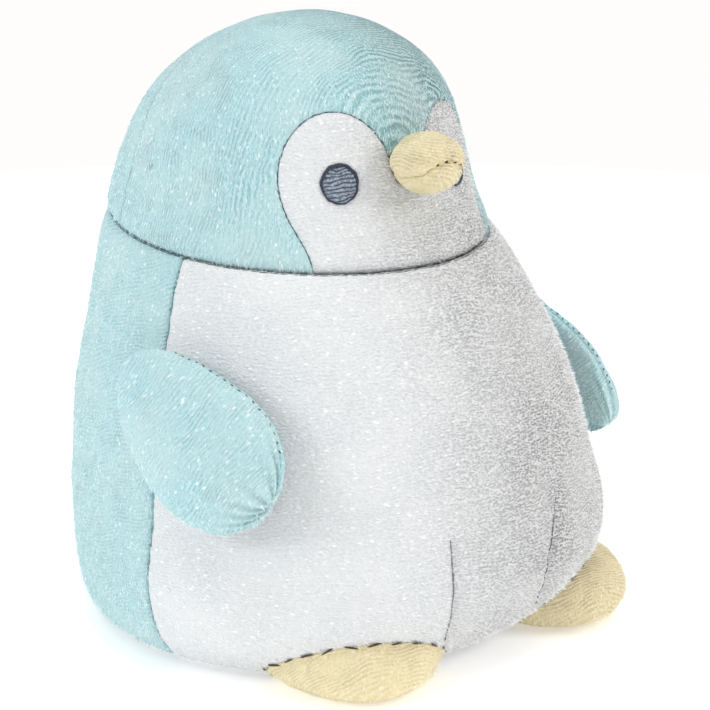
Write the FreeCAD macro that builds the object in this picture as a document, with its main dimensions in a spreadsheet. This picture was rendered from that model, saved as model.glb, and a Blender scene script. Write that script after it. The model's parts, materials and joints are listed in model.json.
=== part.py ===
import FreeCAD, Part
import math
import os

# Sitting plush penguin: fabric skins, stuffing, beak, eyes, two hinged flippers and two hinged feet.
# Millimetres. Z is up, the toy faces -Y, its own right side is -X, the origin is the middle of the seat.

sizes = {
    # overall
    "total_height": 160.0,
    "body_radius": 72.3,
    "neck_height": 107.4,
    "neck_radius": 53.0,
    "neck_tilt": 6.0,
    "crown_radius": 47.5,
    # cloth and clearances
    "skin": 1.0,
    "fill_gap": 0.2,
    "thread_lift": 0.05,
    "thread_height": 0.5,
    "thread_width": 0.7,
    "sewn_gap": 1.0,
    "root_gap": 0.9,
    # face
    "lobe_side": 18.0,
    "lobe_level": 119.5,
    "lobe_half_width": 13.8,
    "lobe_half_height": 19.2,
    "chin_half_width": 29.5,
    "chin_top": 113.0,
    "bridge_half_width": 8.0,
    "bridge_top": 121.0,
    # eyes
    "eye_side": 19.9,
    "eye_level": 122.1,
    "eye_radius": 5.0,
    "eye_rim": 1.1,
    # beak
    "beak_level": 127.4,
    "beak_forward": 51.5,
    "beak_half_width": 11.0,
    "beak_half_height": 8.6,
    "beak_half_depth": 9.0,
    "mouth_drop": 1.6,
    # seams
    "side_seam_radius": 128.4,
    "side_seam_back": 97.7,
    "side_seam_level": 44.0,
    "head_seam_back": 10.0,
    "dart_side": 17.5,
    "dart_bottom": 12.0,
    "dart_top": 42.0,
    # flippers
    "flipper_half_width": 18.0,
    "flipper_half_depth": 5.5,
    "flipper_widest": 0.59,
        # feet
    "foot_half_width": 21.3,
    "foot_half_length": 31.9,
    "foot_half_height": 10.9,
    "foot_level": 8.0,
    "right_foot_side": 28.4,
    "left_foot_side": 36.9,
    "right_toe_reach": 1.9,
    "left_toe_reach": 4.7,
}

# Body sections from the seat to the neck: share of the neck height, share of the body radius,
# and how far the section's middle sits behind the origin as a share of the body radius.
sections = [
    (0.000, 0.837, -0.048),
    (0.037, 0.889, -0.083),
    (0.121, 0.957, -0.159),
    (0.261, 1.000, -0.228),
    (0.419, 0.976, -0.194),
    (0.605, 0.927, -0.155),
    (0.801, 0.833, -0.089),
    (1.000, 0.729, 0.000),
    (1.080, 0.690, 0.030),
]
ringShares = [0.0, 0.02, 0.05, 0.09, 0.14, 0.20, 0.27, 0.35, 0.44, 0.54, 0.64, 0.74, 0.84, 0.93, 1.0, 1.08]

doc = FreeCAD.newDocument("plush_penguin")
sheet = doc.addObject("Spreadsheet::Sheet", "Sizes")
for row, (name, value) in enumerate(sizes.items(), start=1):
    sheet.set("A%d" % row, name)
    sheet.set("B%d" % row, str(value))
    sheet.setAlias("B%d" % row, name)
doc.recompute()

V = FreeCAD.Vector
xAxis = V(1, 0, 0)
yAxis = V(0, 1, 0)
zAxis = V(0, 0, 1)
outputs = []


def size(name):
    return getattr(sheet, name)


def bind(obj, prop, text):
    words = text
    for name in sorted(sizes, key=len, reverse=True):
        words = words.replace("<%s>" % name, "Sizes." + name)
    obj.setExpression(prop, words)


def place(obj, position, axis=zAxis, angle=0.0):
    obj.Placement = FreeCAD.Placement(position, FreeCAD.Rotation(axis, angle))


def add(kind, label):
    obj = doc.addObject(kind, label)
    obj.Label = label
    return obj


def cut(label, base, tool):
    obj = add("Part::Cut", label)
    obj.Base = base
    obj.Tool = tool
    return obj


def common(label, base, tool):
    obj = add("Part::Common", label)
    obj.Base = base
    obj.Tool = tool
    return obj


def fuse(label, shapes):
    obj = add("Part::MultiFuse", label)
    obj.Shapes = shapes
    return obj


def box(label, low, dims):
    obj = add("Part::Box", label)
    for prop, text in zip(("Length", "Width", "Height"), dims):
        bind(obj, prop, text)
    for prop, text in zip(("x", "y", "z"), low):
        bind(obj, "Placement.Base." + prop, text)
    return obj


def keep(obj):
    outputs.append(obj)
    return obj


def sectionAt(share):
    # Width and lean of the body at a share of the neck height, on a smooth curve through the sections.
    def slope(index, column):
        low = max(0, index - 1)
        high = min(len(sections) - 1, index + 1)
        return (sections[high][column] - sections[low][column]) / (sections[high][0] - sections[low][0])
    index = 0
    while index < len(sections) - 2 and share > sections[index + 1][0]:
        index += 1
    start, end = sections[index], sections[index + 1]
    span = end[0] - start[0]
    t = (share - start[0]) / span
    values = []
    for column in (1, 2):
        rise = span * slope(index, column)
        settle = span * slope(index + 1, column)
        values.append(
            (2 * t ** 3 - 3 * t ** 2 + 1) * start[column] + (t ** 3 - 2 * t ** 2 + t) * rise
            + (3 * t ** 2 - 2 * t ** 3) * end[column] + (t ** 3 - t ** 2) * settle)
    return values


def turnNeck(obj):
    bind(obj, "Placement.Base.z", "<neck_height>")
    bind(obj, "Placement.Rotation.Angle", "<neck_tilt>")
    bind(obj, "Placement.Rotation.Axis.x", "1")
    bind(obj, "Placement.Rotation.Axis.z", "0")


neckBox = box("neck_box", ("-200", "-200", "0"), ("400", "400", "100"))
neckSpace = add("Part::Compound", "neck_space")
neckSpace.Links = [neckBox]
turnNeck(neckSpace)


# ---- body and head forms, at any distance outside or inside the sewn surface

def bodyForm(label, offset):
    rings = []
    for index, share in enumerate(ringShares):
        width, lean = sectionAt(share)
        ring = add("Part::Circle", "%s_ring_%d" % (label, index))
        bind(ring, "Radius", "<body_radius> * %.4f + (%s)" % (width, offset))
        bind(ring, "Placement.Base.y", "<body_radius> * %.4f" % lean)
        bind(ring, "Placement.Base.z", "<neck_height> * %.3f" % share)
        rings.append(ring)
    loft = add("Part::Loft", label)
    loft.Sections = rings
    loft.Solid = True
    loft.Ruled = False
    return loft


def headForm(label, offset, foot="0"):
    # A ball crown that runs tangent into a flare down to the neck rim.
    crown = "(<crown_radius> + (%s))" % offset
    rim = "(<neck_radius> + (%s))" % offset
    rise = "((<total_height> - <neck_height> - <crown_radius>) / cos(<neck_tilt> * 1 deg))"
    reach = "sqrt(%s * %s + %s * %s)" % (rim, rim, rise, rise)
    join = "(acos(%s / %s) - atan(%s / %s))" % (crown, reach, rise, rim)
    ball = add("Part::Sphere", label + "_crown")
    bind(ball, "Radius", crown)
    bind(ball, "Angle1", join)
    bind(ball, "Placement.Base.z", rise)
    flare = add("Part::Cone", label + "_flare")
    bind(flare, "Radius1", rim)
    bind(flare, "Radius2", "%s * cos(%s)" % (crown, join))
    bind(flare, "Height", "%s + %s * sin(%s)" % (rise, crown, join))
    form = fuse(label + "_upright", [ball, flare])
    if foot != "0":
        trim = box(label + "_trim", ("-200", "-200", foot), ("400", "400", "300"))
        form = common(label + "_raised", form, trim)
    obj = add("Part::Compound", label)
    obj.Links = [form]
    turnNeck(obj)
    return obj


bodySkin = bodyForm("body_skin_form", "0")
bodyLining = bodyForm("body_lining_form", "-<skin>")
bodyFill = bodyForm("body_fill_form", "-<skin> - <fill_gap>")
bodyThreadLow = bodyForm("body_thread_low", "<thread_lift>")
bodyThreadHigh = bodyForm("body_thread_high", "<thread_lift> + <thread_height>")
bodyClear = bodyForm("body_clear_form", "<sewn_gap>")
bodyClearLining = bodyForm("body_clear_lining", "<sewn_gap> + <skin>")
bodyClearFill = bodyForm("body_clear_fill", "<sewn_gap> + <skin> + <fill_gap>")
headSkin = headForm("head_skin_form", "0")
headLining = headForm("head_lining_form", "-<skin>")
headFill = headForm("head_fill_form", "-<skin> - <fill_gap>", "<fill_gap> * 2")
headThreadLow = headForm("head_thread_low", "<thread_lift>")
headThreadHigh = headForm("head_thread_high", "<thread_lift> + <thread_height>")
headClear = headForm("head_clear_form", "<sewn_gap>")
headClearLining = headForm("head_clear_lining", "<sewn_gap> + <skin>")
headClearFill = headForm("head_clear_fill", "<sewn_gap> + <skin> + <fill_gap>")

# ---- body panels: a belly panel, two back panels and the seat, over one stuffing

bodyWall = cut("body_wall", bodySkin, bodyLining)
aboveSeat = box("above_seat", ("-200", "-200", "<skin>"), ("400", "400", "200"))
bodyWallUp = cut("body_wall_below_neck", common("body_wall_above_seat", bodyWall, aboveSeat), neckSpace)
seamDrum = add("Part::Cylinder", "side_seam_drum")
bind(seamDrum, "Radius", "<side_seam_radius>")
seamDrum.Height = 400
seamDrum.Placement = FreeCAD.Placement(V(-200, size("side_seam_back"), 0), FreeCAD.Rotation(yAxis, 90))
bind(seamDrum, "Placement.Base.y", "<side_seam_back>")
bind(seamDrum, "Placement.Base.z", "<side_seam_level>")
keep(cut("belly_panel", bodyWallUp, seamDrum))
bodyRear = common("body_rear", bodyWallUp, seamDrum)
leftHalf = box("left_half_space", ("0", "-200", "-10"), ("200", "400", "300"))
rightHalf = box("right_half_space", ("-200", "-200", "-10"), ("200", "400", "300"))
keep(common("back_left_panel", bodyRear, leftHalf))
keep(common("back_right_panel", bodyRear, rightHalf))
seatSlab = box("seat_slab", ("-200", "-200", "0"), ("400", "400", "<skin>"))
keep(common("seat_panel", bodySkin, seatSlab))
aboveFloor = box("above_floor", ("-200", "-200", "<skin> + <fill_gap>"), ("400", "400", "200"))
keep(cut("body_stuffing", common("body_fill_above_seat", bodyFill, aboveFloor), neckSpace))

# ---- head panels: a heart-shaped face, a crown and a rear panel, over one stuffing


def faceForm(label, grow):
    parts = []
    for side, word in ((-1, "right"), (1, "left")):
        oval = add("Part::Ellipse", "%s_%s_oval" % (label, word))
        bind(oval, "MajorRadius", "<lobe_half_height> + (%s)" % grow)
        bind(oval, "MinorRadius", "<lobe_half_width> + (%s)" % grow)
        oval.Placement.Rotation = FreeCAD.Rotation(zAxis, xAxis, -yAxis, "ZXY")
        bind(oval, "Placement.Base.x", "<lobe_side> * %d" % side)
        bind(oval, "Placement.Base.z", "<lobe_level>")
        lobe = add("Part::Extrusion", "%s_%s_lobe" % (label, word))
        lobe.Base = oval
        lobe.DirMode = "Custom"
        lobe.Dir = -yAxis
        lobe.LengthFwd = 120
        lobe.Solid = True
        parts.append(lobe)
    parts.append(box(
        label + "_chin", ("-<chin_half_width> - (%s)" % grow, "-120", "80"),
        ("(<chin_half_width> + (%s)) * 2" % grow, "120", "<chin_top> - 80")))
    parts.append(box(
        label + "_bridge", ("-<bridge_half_width>", "-120", "80"),
        ("<bridge_half_width> * 2", "120", "<bridge_top> - 80 + (%s)" % grow)))
    return fuse(label, parts)


face = faceForm("face_form", "0")
headWall = cut("head_wall", headSkin, headLining)
keep(common("face_panel", headWall, face))
headRest = cut("head_rest", headWall, face)
headRearSpace = box("head_rear_space", ("-200", "<head_seam_back>", "50"), ("400", "200", "200"))
keep(cut("head_crown_panel", headRest, headRearSpace))
keep(common("head_rear_panel", headRest, headRearSpace))
keep(headFill)
headFill.Label = "head_stuffing"

# ---- beak: an upper and a lower pouch panel over one stuffing, seated on the face


def beakForm(label, grow, seat):
    egg = add("Part::Ellipsoid", label + "_egg")
    bind(egg, "Radius1", "<beak_half_height> + (%s)" % grow)
    bind(egg, "Radius2", "<beak_half_width> + (%s)" % grow)
    bind(egg, "Radius3", "<beak_half_depth> + (%s)" % grow)
    bind(egg, "Placement.Base.y", "-<beak_forward>")
    bind(egg, "Placement.Base.z", "<beak_level>")
    return cut(label, egg, seat)


beakSkin = beakForm("beak_skin_form", "0", headClear)
beakLining = beakForm("beak_lining_form", "-<skin>", headClearLining)
beakFill = beakForm("beak_stuffing", "-<skin> - <fill_gap>", headClearFill)
beakWall = cut("beak_wall", beakSkin, beakLining)
mouthSpace = box(
    "above_mouth", ("-50", "-120", "<beak_level> - <mouth_drop>"), ("100", "120", "50"))
keep(common("beak_upper_panel", beakWall, mouthSpace))
keep(cut("beak_lower_panel", beakWall, mouthSpace))
keep(beakFill)

# ---- eyes: a satin disc in an outline ring, sewn flat on the face

headThread = cut("head_thread_layer", headThreadHigh, headThreadLow)
for side, word in ((-1, "right"), (1, "left")):
    turn = FreeCAD.Rotation(V(side * 0.41, -0.88, 0.242), 0)
    rods = []
    for name, radius in (("outer", "<eye_radius>"), ("inner", "<eye_radius> - <eye_rim>"),
                         ("disc", "<eye_radius> - <eye_rim> - <thread_lift>")):
        rod = add("Part::Cylinder", "eye_%s_%s_rod" % (word, name))
        bind(rod, "Radius", radius)
        rod.Height = 30
        outward = V(side * 0.41, -0.88, 0.242)
        start = V(side * size("eye_side"), -42.2, size("eye_level")) - outward * 15
        rod.Placement = FreeCAD.Placement(start, FreeCAD.Rotation(zAxis, outward))
        rods.append(rod)
    ring = cut("eye_%s_ring_rod" % word, rods[0], rods[1])
    keep(common("eye_%s_outline" % word, headThread, ring))
    keep(common("eye_%s_fill" % word, headThread, rods[2]))

# ---- seams: a low run of thread along every sewn join

bodyThread = cut("body_thread_layer", bodyThreadHigh, bodyThreadLow)
halfThread = "<thread_width> / 2"

neckBand = box("neck_seam_slab", ("-200", "-200", "<thread_lift>"), ("400", "400", "<thread_width>"))
neckBandTurned = add("Part::Compound", "neck_seam_slab_turned")
neckBandTurned.Links = [neckBand]
turnNeck(neckBandTurned)
keep(common("neck_seam_thread", headThread, neckBandTurned))

drumOuter = add("Part::Cylinder", "seam_drum_outer")
drumInner = add("Part::Cylinder", "seam_drum_inner")
for drum, grow in ((drumOuter, halfThread), (drumInner, "-<thread_width> / 2")):
    bind(drum, "Radius", "<side_seam_radius> + (%s)" % grow)
    drum.Height = 400
    drum.Placement = FreeCAD.Placement(V(-200, 0, 0), FreeCAD.Rotation(yAxis, 90))
    bind(drum, "Placement.Base.y", "<side_seam_back>")
    bind(drum, "Placement.Base.z", "<side_seam_level>")
drumWall = cut("seam_drum_wall", drumOuter, drumInner)
underNeck = "<neck_height> - <neck_radius> * sin(<neck_tilt> * 1 deg) - 3"
seamBand = box("seam_band", ("-200", "-200", "<skin> + <thread_width>"), ("400", "400", underNeck))
sideThreads = common("side_threads", common("side_threads_full", bodyThread, drumWall), seamBand)
keep(common("side_seam_left_thread", sideThreads, leftHalf))
keep(common("side_seam_right_thread", sideThreads, rightHalf))
backSlab = box(
    "back_seam_slab", ("-<thread_width> / 2", "0", "<skin> + <thread_width>"),
    ("<thread_width>", "200", underNeck))
keep(common("back_seam_thread", bodyThread, backSlab))
seatSeamSlab = box(
    "seat_seam_slab", ("-200", "-200", "<skin> - <thread_width> / 2"),
    ("400", "400", "<thread_width>"))
keep(common("seat_seam_thread", bodyThread, seatSeamSlab))
for side, word in ((-1, "right"), (1, "left")):
    slab = box(
        "dart_%s_slab" % word,
        ("<dart_side> * %d - <thread_width> / 2" % side, "-200", "<dart_bottom>"),
        ("<thread_width>", "200", "<dart_top> - <dart_bottom>"))
    keep(common("dart_%s_thread" % word, bodyThread, slab))
faceRim = cut("face_rim", faceForm("face_rim_outer", halfThread), faceForm("face_rim_inner", "-<thread_width> / 2"))
faceBand = box("face_band", ("-200", "-200", "<neck_height> - 1.5"), ("400", "400", "100"))
beakWide = add("Part::Ellipsoid", "beak_keep_out")
bind(beakWide, "Radius1", "<beak_half_height> + <thread_width>")
bind(beakWide, "Radius2", "<beak_half_width> + <thread_width>")
bind(beakWide, "Radius3", "<beak_half_depth> + <thread_width>")
bind(beakWide, "Placement.Base.y", "-<beak_forward>")
bind(beakWide, "Placement.Base.z", "<beak_level>")
faceThreadFull = common("face_thread_full", common("face_thread_rim", headThread, faceRim), faceBand)
keep(cut("face_seam_thread", faceThreadFull, beakWide))
headSeamSlab = box(
    "head_seam_slab", ("-200", "<head_seam_back> - <thread_width> / 2", "<neck_height> + 6"),
    ("400", "<thread_width>", "100"))
keep(common("head_seam_thread", headThread, headSeamSlab))
beakRootFull = common("beak_root_full", headThread, beakWide)
beakCore = add("Part::Ellipsoid", "beak_root_core")
bind(beakCore, "Radius1", "<beak_half_height>")
bind(beakCore, "Radius2", "<beak_half_width>")
bind(beakCore, "Radius3", "<beak_half_depth>")
bind(beakCore, "Placement.Base.y", "-<beak_forward>")
bind(beakCore, "Placement.Base.z", "<beak_level>")
keep(cut("beak_root_thread", beakRootFull, beakCore))
mouthHigh = beakForm("mouth_thread_high", "<thread_lift> + <thread_height>", headClearFill)
mouthLow = beakForm("mouth_thread_low", "<thread_lift>", headClear)
mouthSlab = box(
    "mouth_slab", ("-50", "-120", "<beak_level> - <mouth_drop> - <thread_width> / 2"),
    ("100", "120", "<thread_width>"))
keep(common("beak_mouth_thread", cut("mouth_thread_layer", mouthHigh, mouthLow), mouthSlab))

# ---- feet: a sole and an upper over one stuffing, tucked under the belly

for side, word in ((-1, "right"), (1, "left")):
    belly = "<body_radius> * (%s - %s)" % (sections[2][1], sections[2][2])
    middle = "-(%s + <%s_toe_reach> - <foot_half_length>)" % (belly, word)

    def footForm(label, grow, floor, seat):
        egg = add("Part::Ellipsoid", label + "_egg")
        bind(egg, "Radius1", "<foot_half_height> + (%s)" % grow)
        bind(egg, "Radius2", "<foot_half_width> + (%s)" % grow)
        bind(egg, "Radius3", "<foot_half_length> + (%s)" % grow)
        bind(egg, "Placement.Base.x", "<%s_foot_side> * %d" % (word, side))
        bind(egg, "Placement.Base.y", middle)
        bind(egg, "Placement.Base.z", "<foot_level>")
        clear = box(label + "_above", ("-200", "-200", floor), ("400", "400", "100"))
        return cut(label, common(label + "_flat", egg, clear), seat)

    footSkin = footForm("foot_%s_skin" % word, "0", "0", bodyClear)
    footLining = footForm("foot_%s_lining" % word, "-<skin>", "<skin>", bodyClearLining)
    keep(footForm("foot_%s_stuffing" % word, "-<skin> - <fill_gap>", "<skin> + <fill_gap>", bodyClearFill))
    keep(common("foot_%s_sole" % word, footSkin, seatSlab))
    keep(cut("foot_%s_upper" % word, cut("foot_%s_wall" % word, footSkin, footLining), seatSlab))
    eggs = []
    for name, grow in (("near", "<thread_lift>"), ("far", "<thread_lift> + <thread_width>")):
        egg = add("Part::Ellipsoid", "foot_%s_thread_%s" % (word, name))
        bind(egg, "Radius1", "<foot_half_height> + (%s)" % grow)
        bind(egg, "Radius2", "<foot_half_width> + (%s)" % grow)
        bind(egg, "Radius3", "<foot_half_length> + (%s)" % grow)
        bind(egg, "Placement.Base.x", "<%s_foot_side> * %d" % (word, side))
        bind(egg, "Placement.Base.y", middle)
        bind(egg, "Placement.Base.z", "<foot_level>")
        eggs.append(egg)
    rim = cut("foot_%s_thread_rim" % word, eggs[1], eggs[0])
    band = box("foot_%s_thread_band" % word, ("-200", "-200", "<skin> * 3"), ("400", "200", "100"))
    ring = common("foot_%s_thread_full" % word, common("foot_%s_thread_on" % word, bodyThread, rim), band)
    keep(ring)
    ring.Label = "foot_%s_stitches" % word
    seatWidth, seatLean = sectionAt(0.0)
    seatMiddle = V(0, seatLean * size("body_radius"), 0)
    bearing = math.asin(size(word + "_foot_side") / (seatWidth * size("body_radius")))
    ahead = V(side * math.sin(bearing), -math.cos(bearing), 0)
    hinge = seatMiddle + ahead * (seatWidth * size("body_radius") - 6) + zAxis * 0.5
    print("foot", word, "hinge at", hinge, "axis", ahead.cross(zAxis * -1))

# ---- flippers: two skins over one stuffing, hung from the side seam and curved round the body


def onBody(side, turn, level):
    # A point of the body's surface and its outward direction; turn is measured from the front.
    def point(angle, height):
        width, lean = sectionAt(height / size("neck_height"))
        radius = width * size("body_radius")
        middle = lean * size("body_radius")
        return V(side * radius * math.sin(angle), middle - radius * math.cos(angle), height)
    angle = math.radians(turn)
    across = point(angle + 0.01, level) - point(angle - 0.01, level)
    along = point(angle, level + 6) - point(angle, level - 6)
    outward = across.cross(along)
    outward.normalize()
    if outward.dot(V(side * math.sin(angle), -math.cos(angle), 0)) < 0:
        outward = outward * -1
    return point(angle, level), outward


def swellAt(share):
    # Share of the full half width at a share of the length: an egg with its broad end at the tip.
    widest = size("flipper_widest")
    if share < widest:
        return math.sqrt(1 - ((widest - share) / (widest + 0.06)) ** 2)
    return math.sqrt(max(0.0, 1 - ((share - widest) / (1 - widest)) ** 2))


flipperPlan = {
    "right": (-1, (82.3, 0.734), (49.0, 0.499), (2.9, 7.1)),
    "left": (1, (92.3, 0.667), (71.3, 0.333), (2.4, 15.6)),
}
stations = [0.0, 0.12, 0.26, 0.42, 0.59, 0.74, 0.86, 0.94, 0.985]
liningStations = [0.03, 0.12, 0.26, 0.42, 0.59, 0.74, 0.86, 0.94]
for word, (side, root, tip, lift) in flipperPlan.items():
    frames = []
    for share in [index / 40.0 for index in range(41)]:
        turn = root[0] + (tip[0] - root[0]) * share
        level = (root[1] + (tip[1] - root[1]) * share) * size("neck_height")
        at, outward = onBody(side, turn, level)
        depth = size("flipper_half_depth") * math.sqrt(swellAt(share))
        off = max(lift[0] + (lift[1] - lift[0]) * share, depth + size("root_gap"))
        frames.append((at + outward * off, outward))

    def frameAt(share):
        index = min(39, int(share * 40))
        part = share * 40 - index
        at = frames[index][0] * (1 - part) + frames[index + 1][0] * part
        out = frames[index][1] * (1 - part) + frames[index + 1][1] * part
        run = frames[min(40, index + 1)][0] - frames[max(0, index - 1)][0]
        run.normalize()
        across = out.cross(run)
        across.normalize()
        out = run.cross(across)
        out.normalize()
        return at, run, across, out

    def padLoft(label, shrink, shares):
        rings = []
        for index, share in enumerate(shares):
            at, run, across, out = frameAt(share)
            swell = swellAt(share)
            ring = add("Part::Ellipse", "%s_ring_%d" % (label, index))
            bind(ring, "MajorRadius", "<flipper_half_width> * %.4f - (%s)" % (swell, shrink))
            bind(ring, "MinorRadius", "<flipper_half_depth> * %.4f - (%s)" % (math.sqrt(swell), shrink))
            ring.Placement = FreeCAD.Placement(at, FreeCAD.Rotation(across, out, run, "ZXY"))
            rings.append(ring)
        loft = add("Part::Loft", label)
        loft.Sections = rings
        loft.Solid = True
        loft.Ruled = False
        return loft

    def outerHalf(label):
        rings = []
        for index, share in enumerate([0.0, 0.2, 0.4, 0.6, 0.8, 1.0]):
            at, run, across, out = frameAt(min(share, 0.999))
            wide = size("flipper_half_width") * 1.5
            tall = size("flipper_half_depth") * 2
            shift = run * (-2 if share == 0.0 else (2 if share == 1.0 else 0))
            corners = [at + shift + across * a * wide + out * b for a, b in ((-1, 0), (1, 0), (1, tall), (-1, tall))]
            ring = add("Part::Feature", "%s_ring_%d" % (label, index))
            ring.Shape = Part.makePolygon(corners + corners[:1])
            rings.append(ring)
        loft = add("Part::Loft", label)
        loft.Sections = rings
        loft.Solid = True
        loft.Ruled = False
        return loft

    padSkin = padLoft("flipper_%s_skin" % word, "0", stations)
    padLining = padLoft("flipper_%s_lining" % word, "<skin>", liningStations)
    wall = cut("flipper_%s_wall" % word, padSkin, padLining)
    half = outerHalf("flipper_%s_outside" % word)
    keep(common("flipper_%s_outer" % word, wall, half))
    keep(cut("flipper_%s_inner" % word, wall, half))
    keep(padLoft("flipper_%s_stuffing" % word, "<skin> + <fill_gap>", liningStations))
    at, run, across, out = frameAt(0.0)
    foot, outward = onBody(side, root[0], root[1] * size("neck_height"))
    bar = add("Part::Box", "flipper_%s_root_bar" % word)
    bar.Length = 15
    bar.Width = 1.4
    bar.Height = 12
    bar.Placement = FreeCAD.Placement(
        foot - across * 7.5 + run * 0.7 - outward * 6, FreeCAD.Rotation(across, run * -1, outward, "ZXY"))
    keep(common("flipper_%s_root_stitches" % word, bodyThread, bar))
    print("flipper", word, "hinge at", foot + outward * 1.2, "axis", run.cross(out))

doc.recompute()

for obj in doc.Objects:
    if "Invalid" in obj.State or "Error" in obj.State:
        raise RuntimeError("object %s did not compute: %s" % (obj.Label, obj.State))
os.makedirs("parts", exist_ok=True)
names = set()
for obj in outputs:
    shape = obj.Shape
    if shape.isNull() or not shape.isValid() or shape.Volume < 0.05:
        raise RuntimeError("bad shape %s" % obj.Label)
    if obj.Label in names:
        raise RuntimeError("two parts are called %s" % obj.Label)
    names.add(obj.Label)
    shape.exportStep("parts/%s.step" % obj.Label)
    print("%-30s solids %d volume %9.1f box %s" % (obj.Label, len(shape.Solids), shape.Volume, shape.BoundBox))
print(len(names), "parts")
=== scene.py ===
import json
import math
import time

import bmesh
import bpy
import numpy as np
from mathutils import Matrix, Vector, noise

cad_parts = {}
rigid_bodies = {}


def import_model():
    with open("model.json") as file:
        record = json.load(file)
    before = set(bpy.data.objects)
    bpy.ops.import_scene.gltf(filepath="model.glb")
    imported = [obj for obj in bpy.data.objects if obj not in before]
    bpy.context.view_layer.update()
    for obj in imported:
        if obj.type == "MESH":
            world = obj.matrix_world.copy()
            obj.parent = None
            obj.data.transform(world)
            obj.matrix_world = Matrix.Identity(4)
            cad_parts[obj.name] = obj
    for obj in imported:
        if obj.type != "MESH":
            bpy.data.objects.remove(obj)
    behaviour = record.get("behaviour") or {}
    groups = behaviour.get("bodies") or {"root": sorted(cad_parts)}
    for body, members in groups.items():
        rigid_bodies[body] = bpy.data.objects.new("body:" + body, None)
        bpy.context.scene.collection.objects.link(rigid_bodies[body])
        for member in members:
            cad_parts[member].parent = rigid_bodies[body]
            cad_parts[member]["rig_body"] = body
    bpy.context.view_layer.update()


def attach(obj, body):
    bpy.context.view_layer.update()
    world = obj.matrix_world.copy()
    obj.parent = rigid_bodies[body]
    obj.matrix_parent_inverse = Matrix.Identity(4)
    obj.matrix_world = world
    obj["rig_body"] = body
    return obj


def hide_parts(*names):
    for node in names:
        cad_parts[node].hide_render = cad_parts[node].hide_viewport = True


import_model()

scene = bpy.context.scene
started = time.time()
mm = 0.001    # shapes below are worked out in millimetres and written in metres


def stage(text):
    print("%5.1f s  %s" % (time.time() - started, text))


def colour(hexText):
    # an sRGB hex value as the linear colour that a socket takes
    parts = [int(hexText[i:i + 2], 16) / 255 for i in (0, 2, 4)]
    return tuple(c / 12.92 if c <= 0.04045 else ((c + 0.055) / 1.055) ** 2.4 for c in parts) + (1.0,)


def add(tree, kind, inputs=None, **settings):
    # one node; an input is a plain value, a node (its first output) or an output socket
    item = tree.nodes.new(kind)
    for key, value in settings.items():
        setattr(item, key, value)
    for key, value in (inputs or {}).items():
        if isinstance(value, bpy.types.Node):
            value = value.outputs[0]
        if isinstance(value, bpy.types.NodeSocket):
            tree.links.new(value, item.inputs[key])
        else:
            item.inputs[key].default_value = value
    return item


def calc(tree, operation, *inputs):
    return add(tree, "ShaderNodeMath", dict(enumerate(inputs)), operation=operation)


def vectorCalc(tree, operation, first, second):
    other = "Scale" if operation == "SCALE" else 1
    result = add(tree, "ShaderNodeVectorMath", {0: first, other: second}, operation=operation)
    return result.outputs["Value"] if operation == "DOT_PRODUCT" else result


def remap(tree, value, low=0.0, high=1.0, start=0.0, end=1.0, **settings):
    limits = {"From Min": low, "From Max": high, "To Min": start, "To Max": end}
    return add(tree, "ShaderNodeMapRange", dict(limits, Value=value), **settings)


def blend(tree, share, first, second):
    return add(tree, "ShaderNodeMix", {0: share, 6: first, 7: second}, data_type="RGBA").outputs[2]


def newMaterial(name):
    material = bpy.data.materials.new(name)
    material.use_nodes = True
    tree = material.node_tree
    tree.nodes.clear()
    return material, tree, add(tree, "ShaderNodeTexCoord").outputs["Object"]


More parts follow.
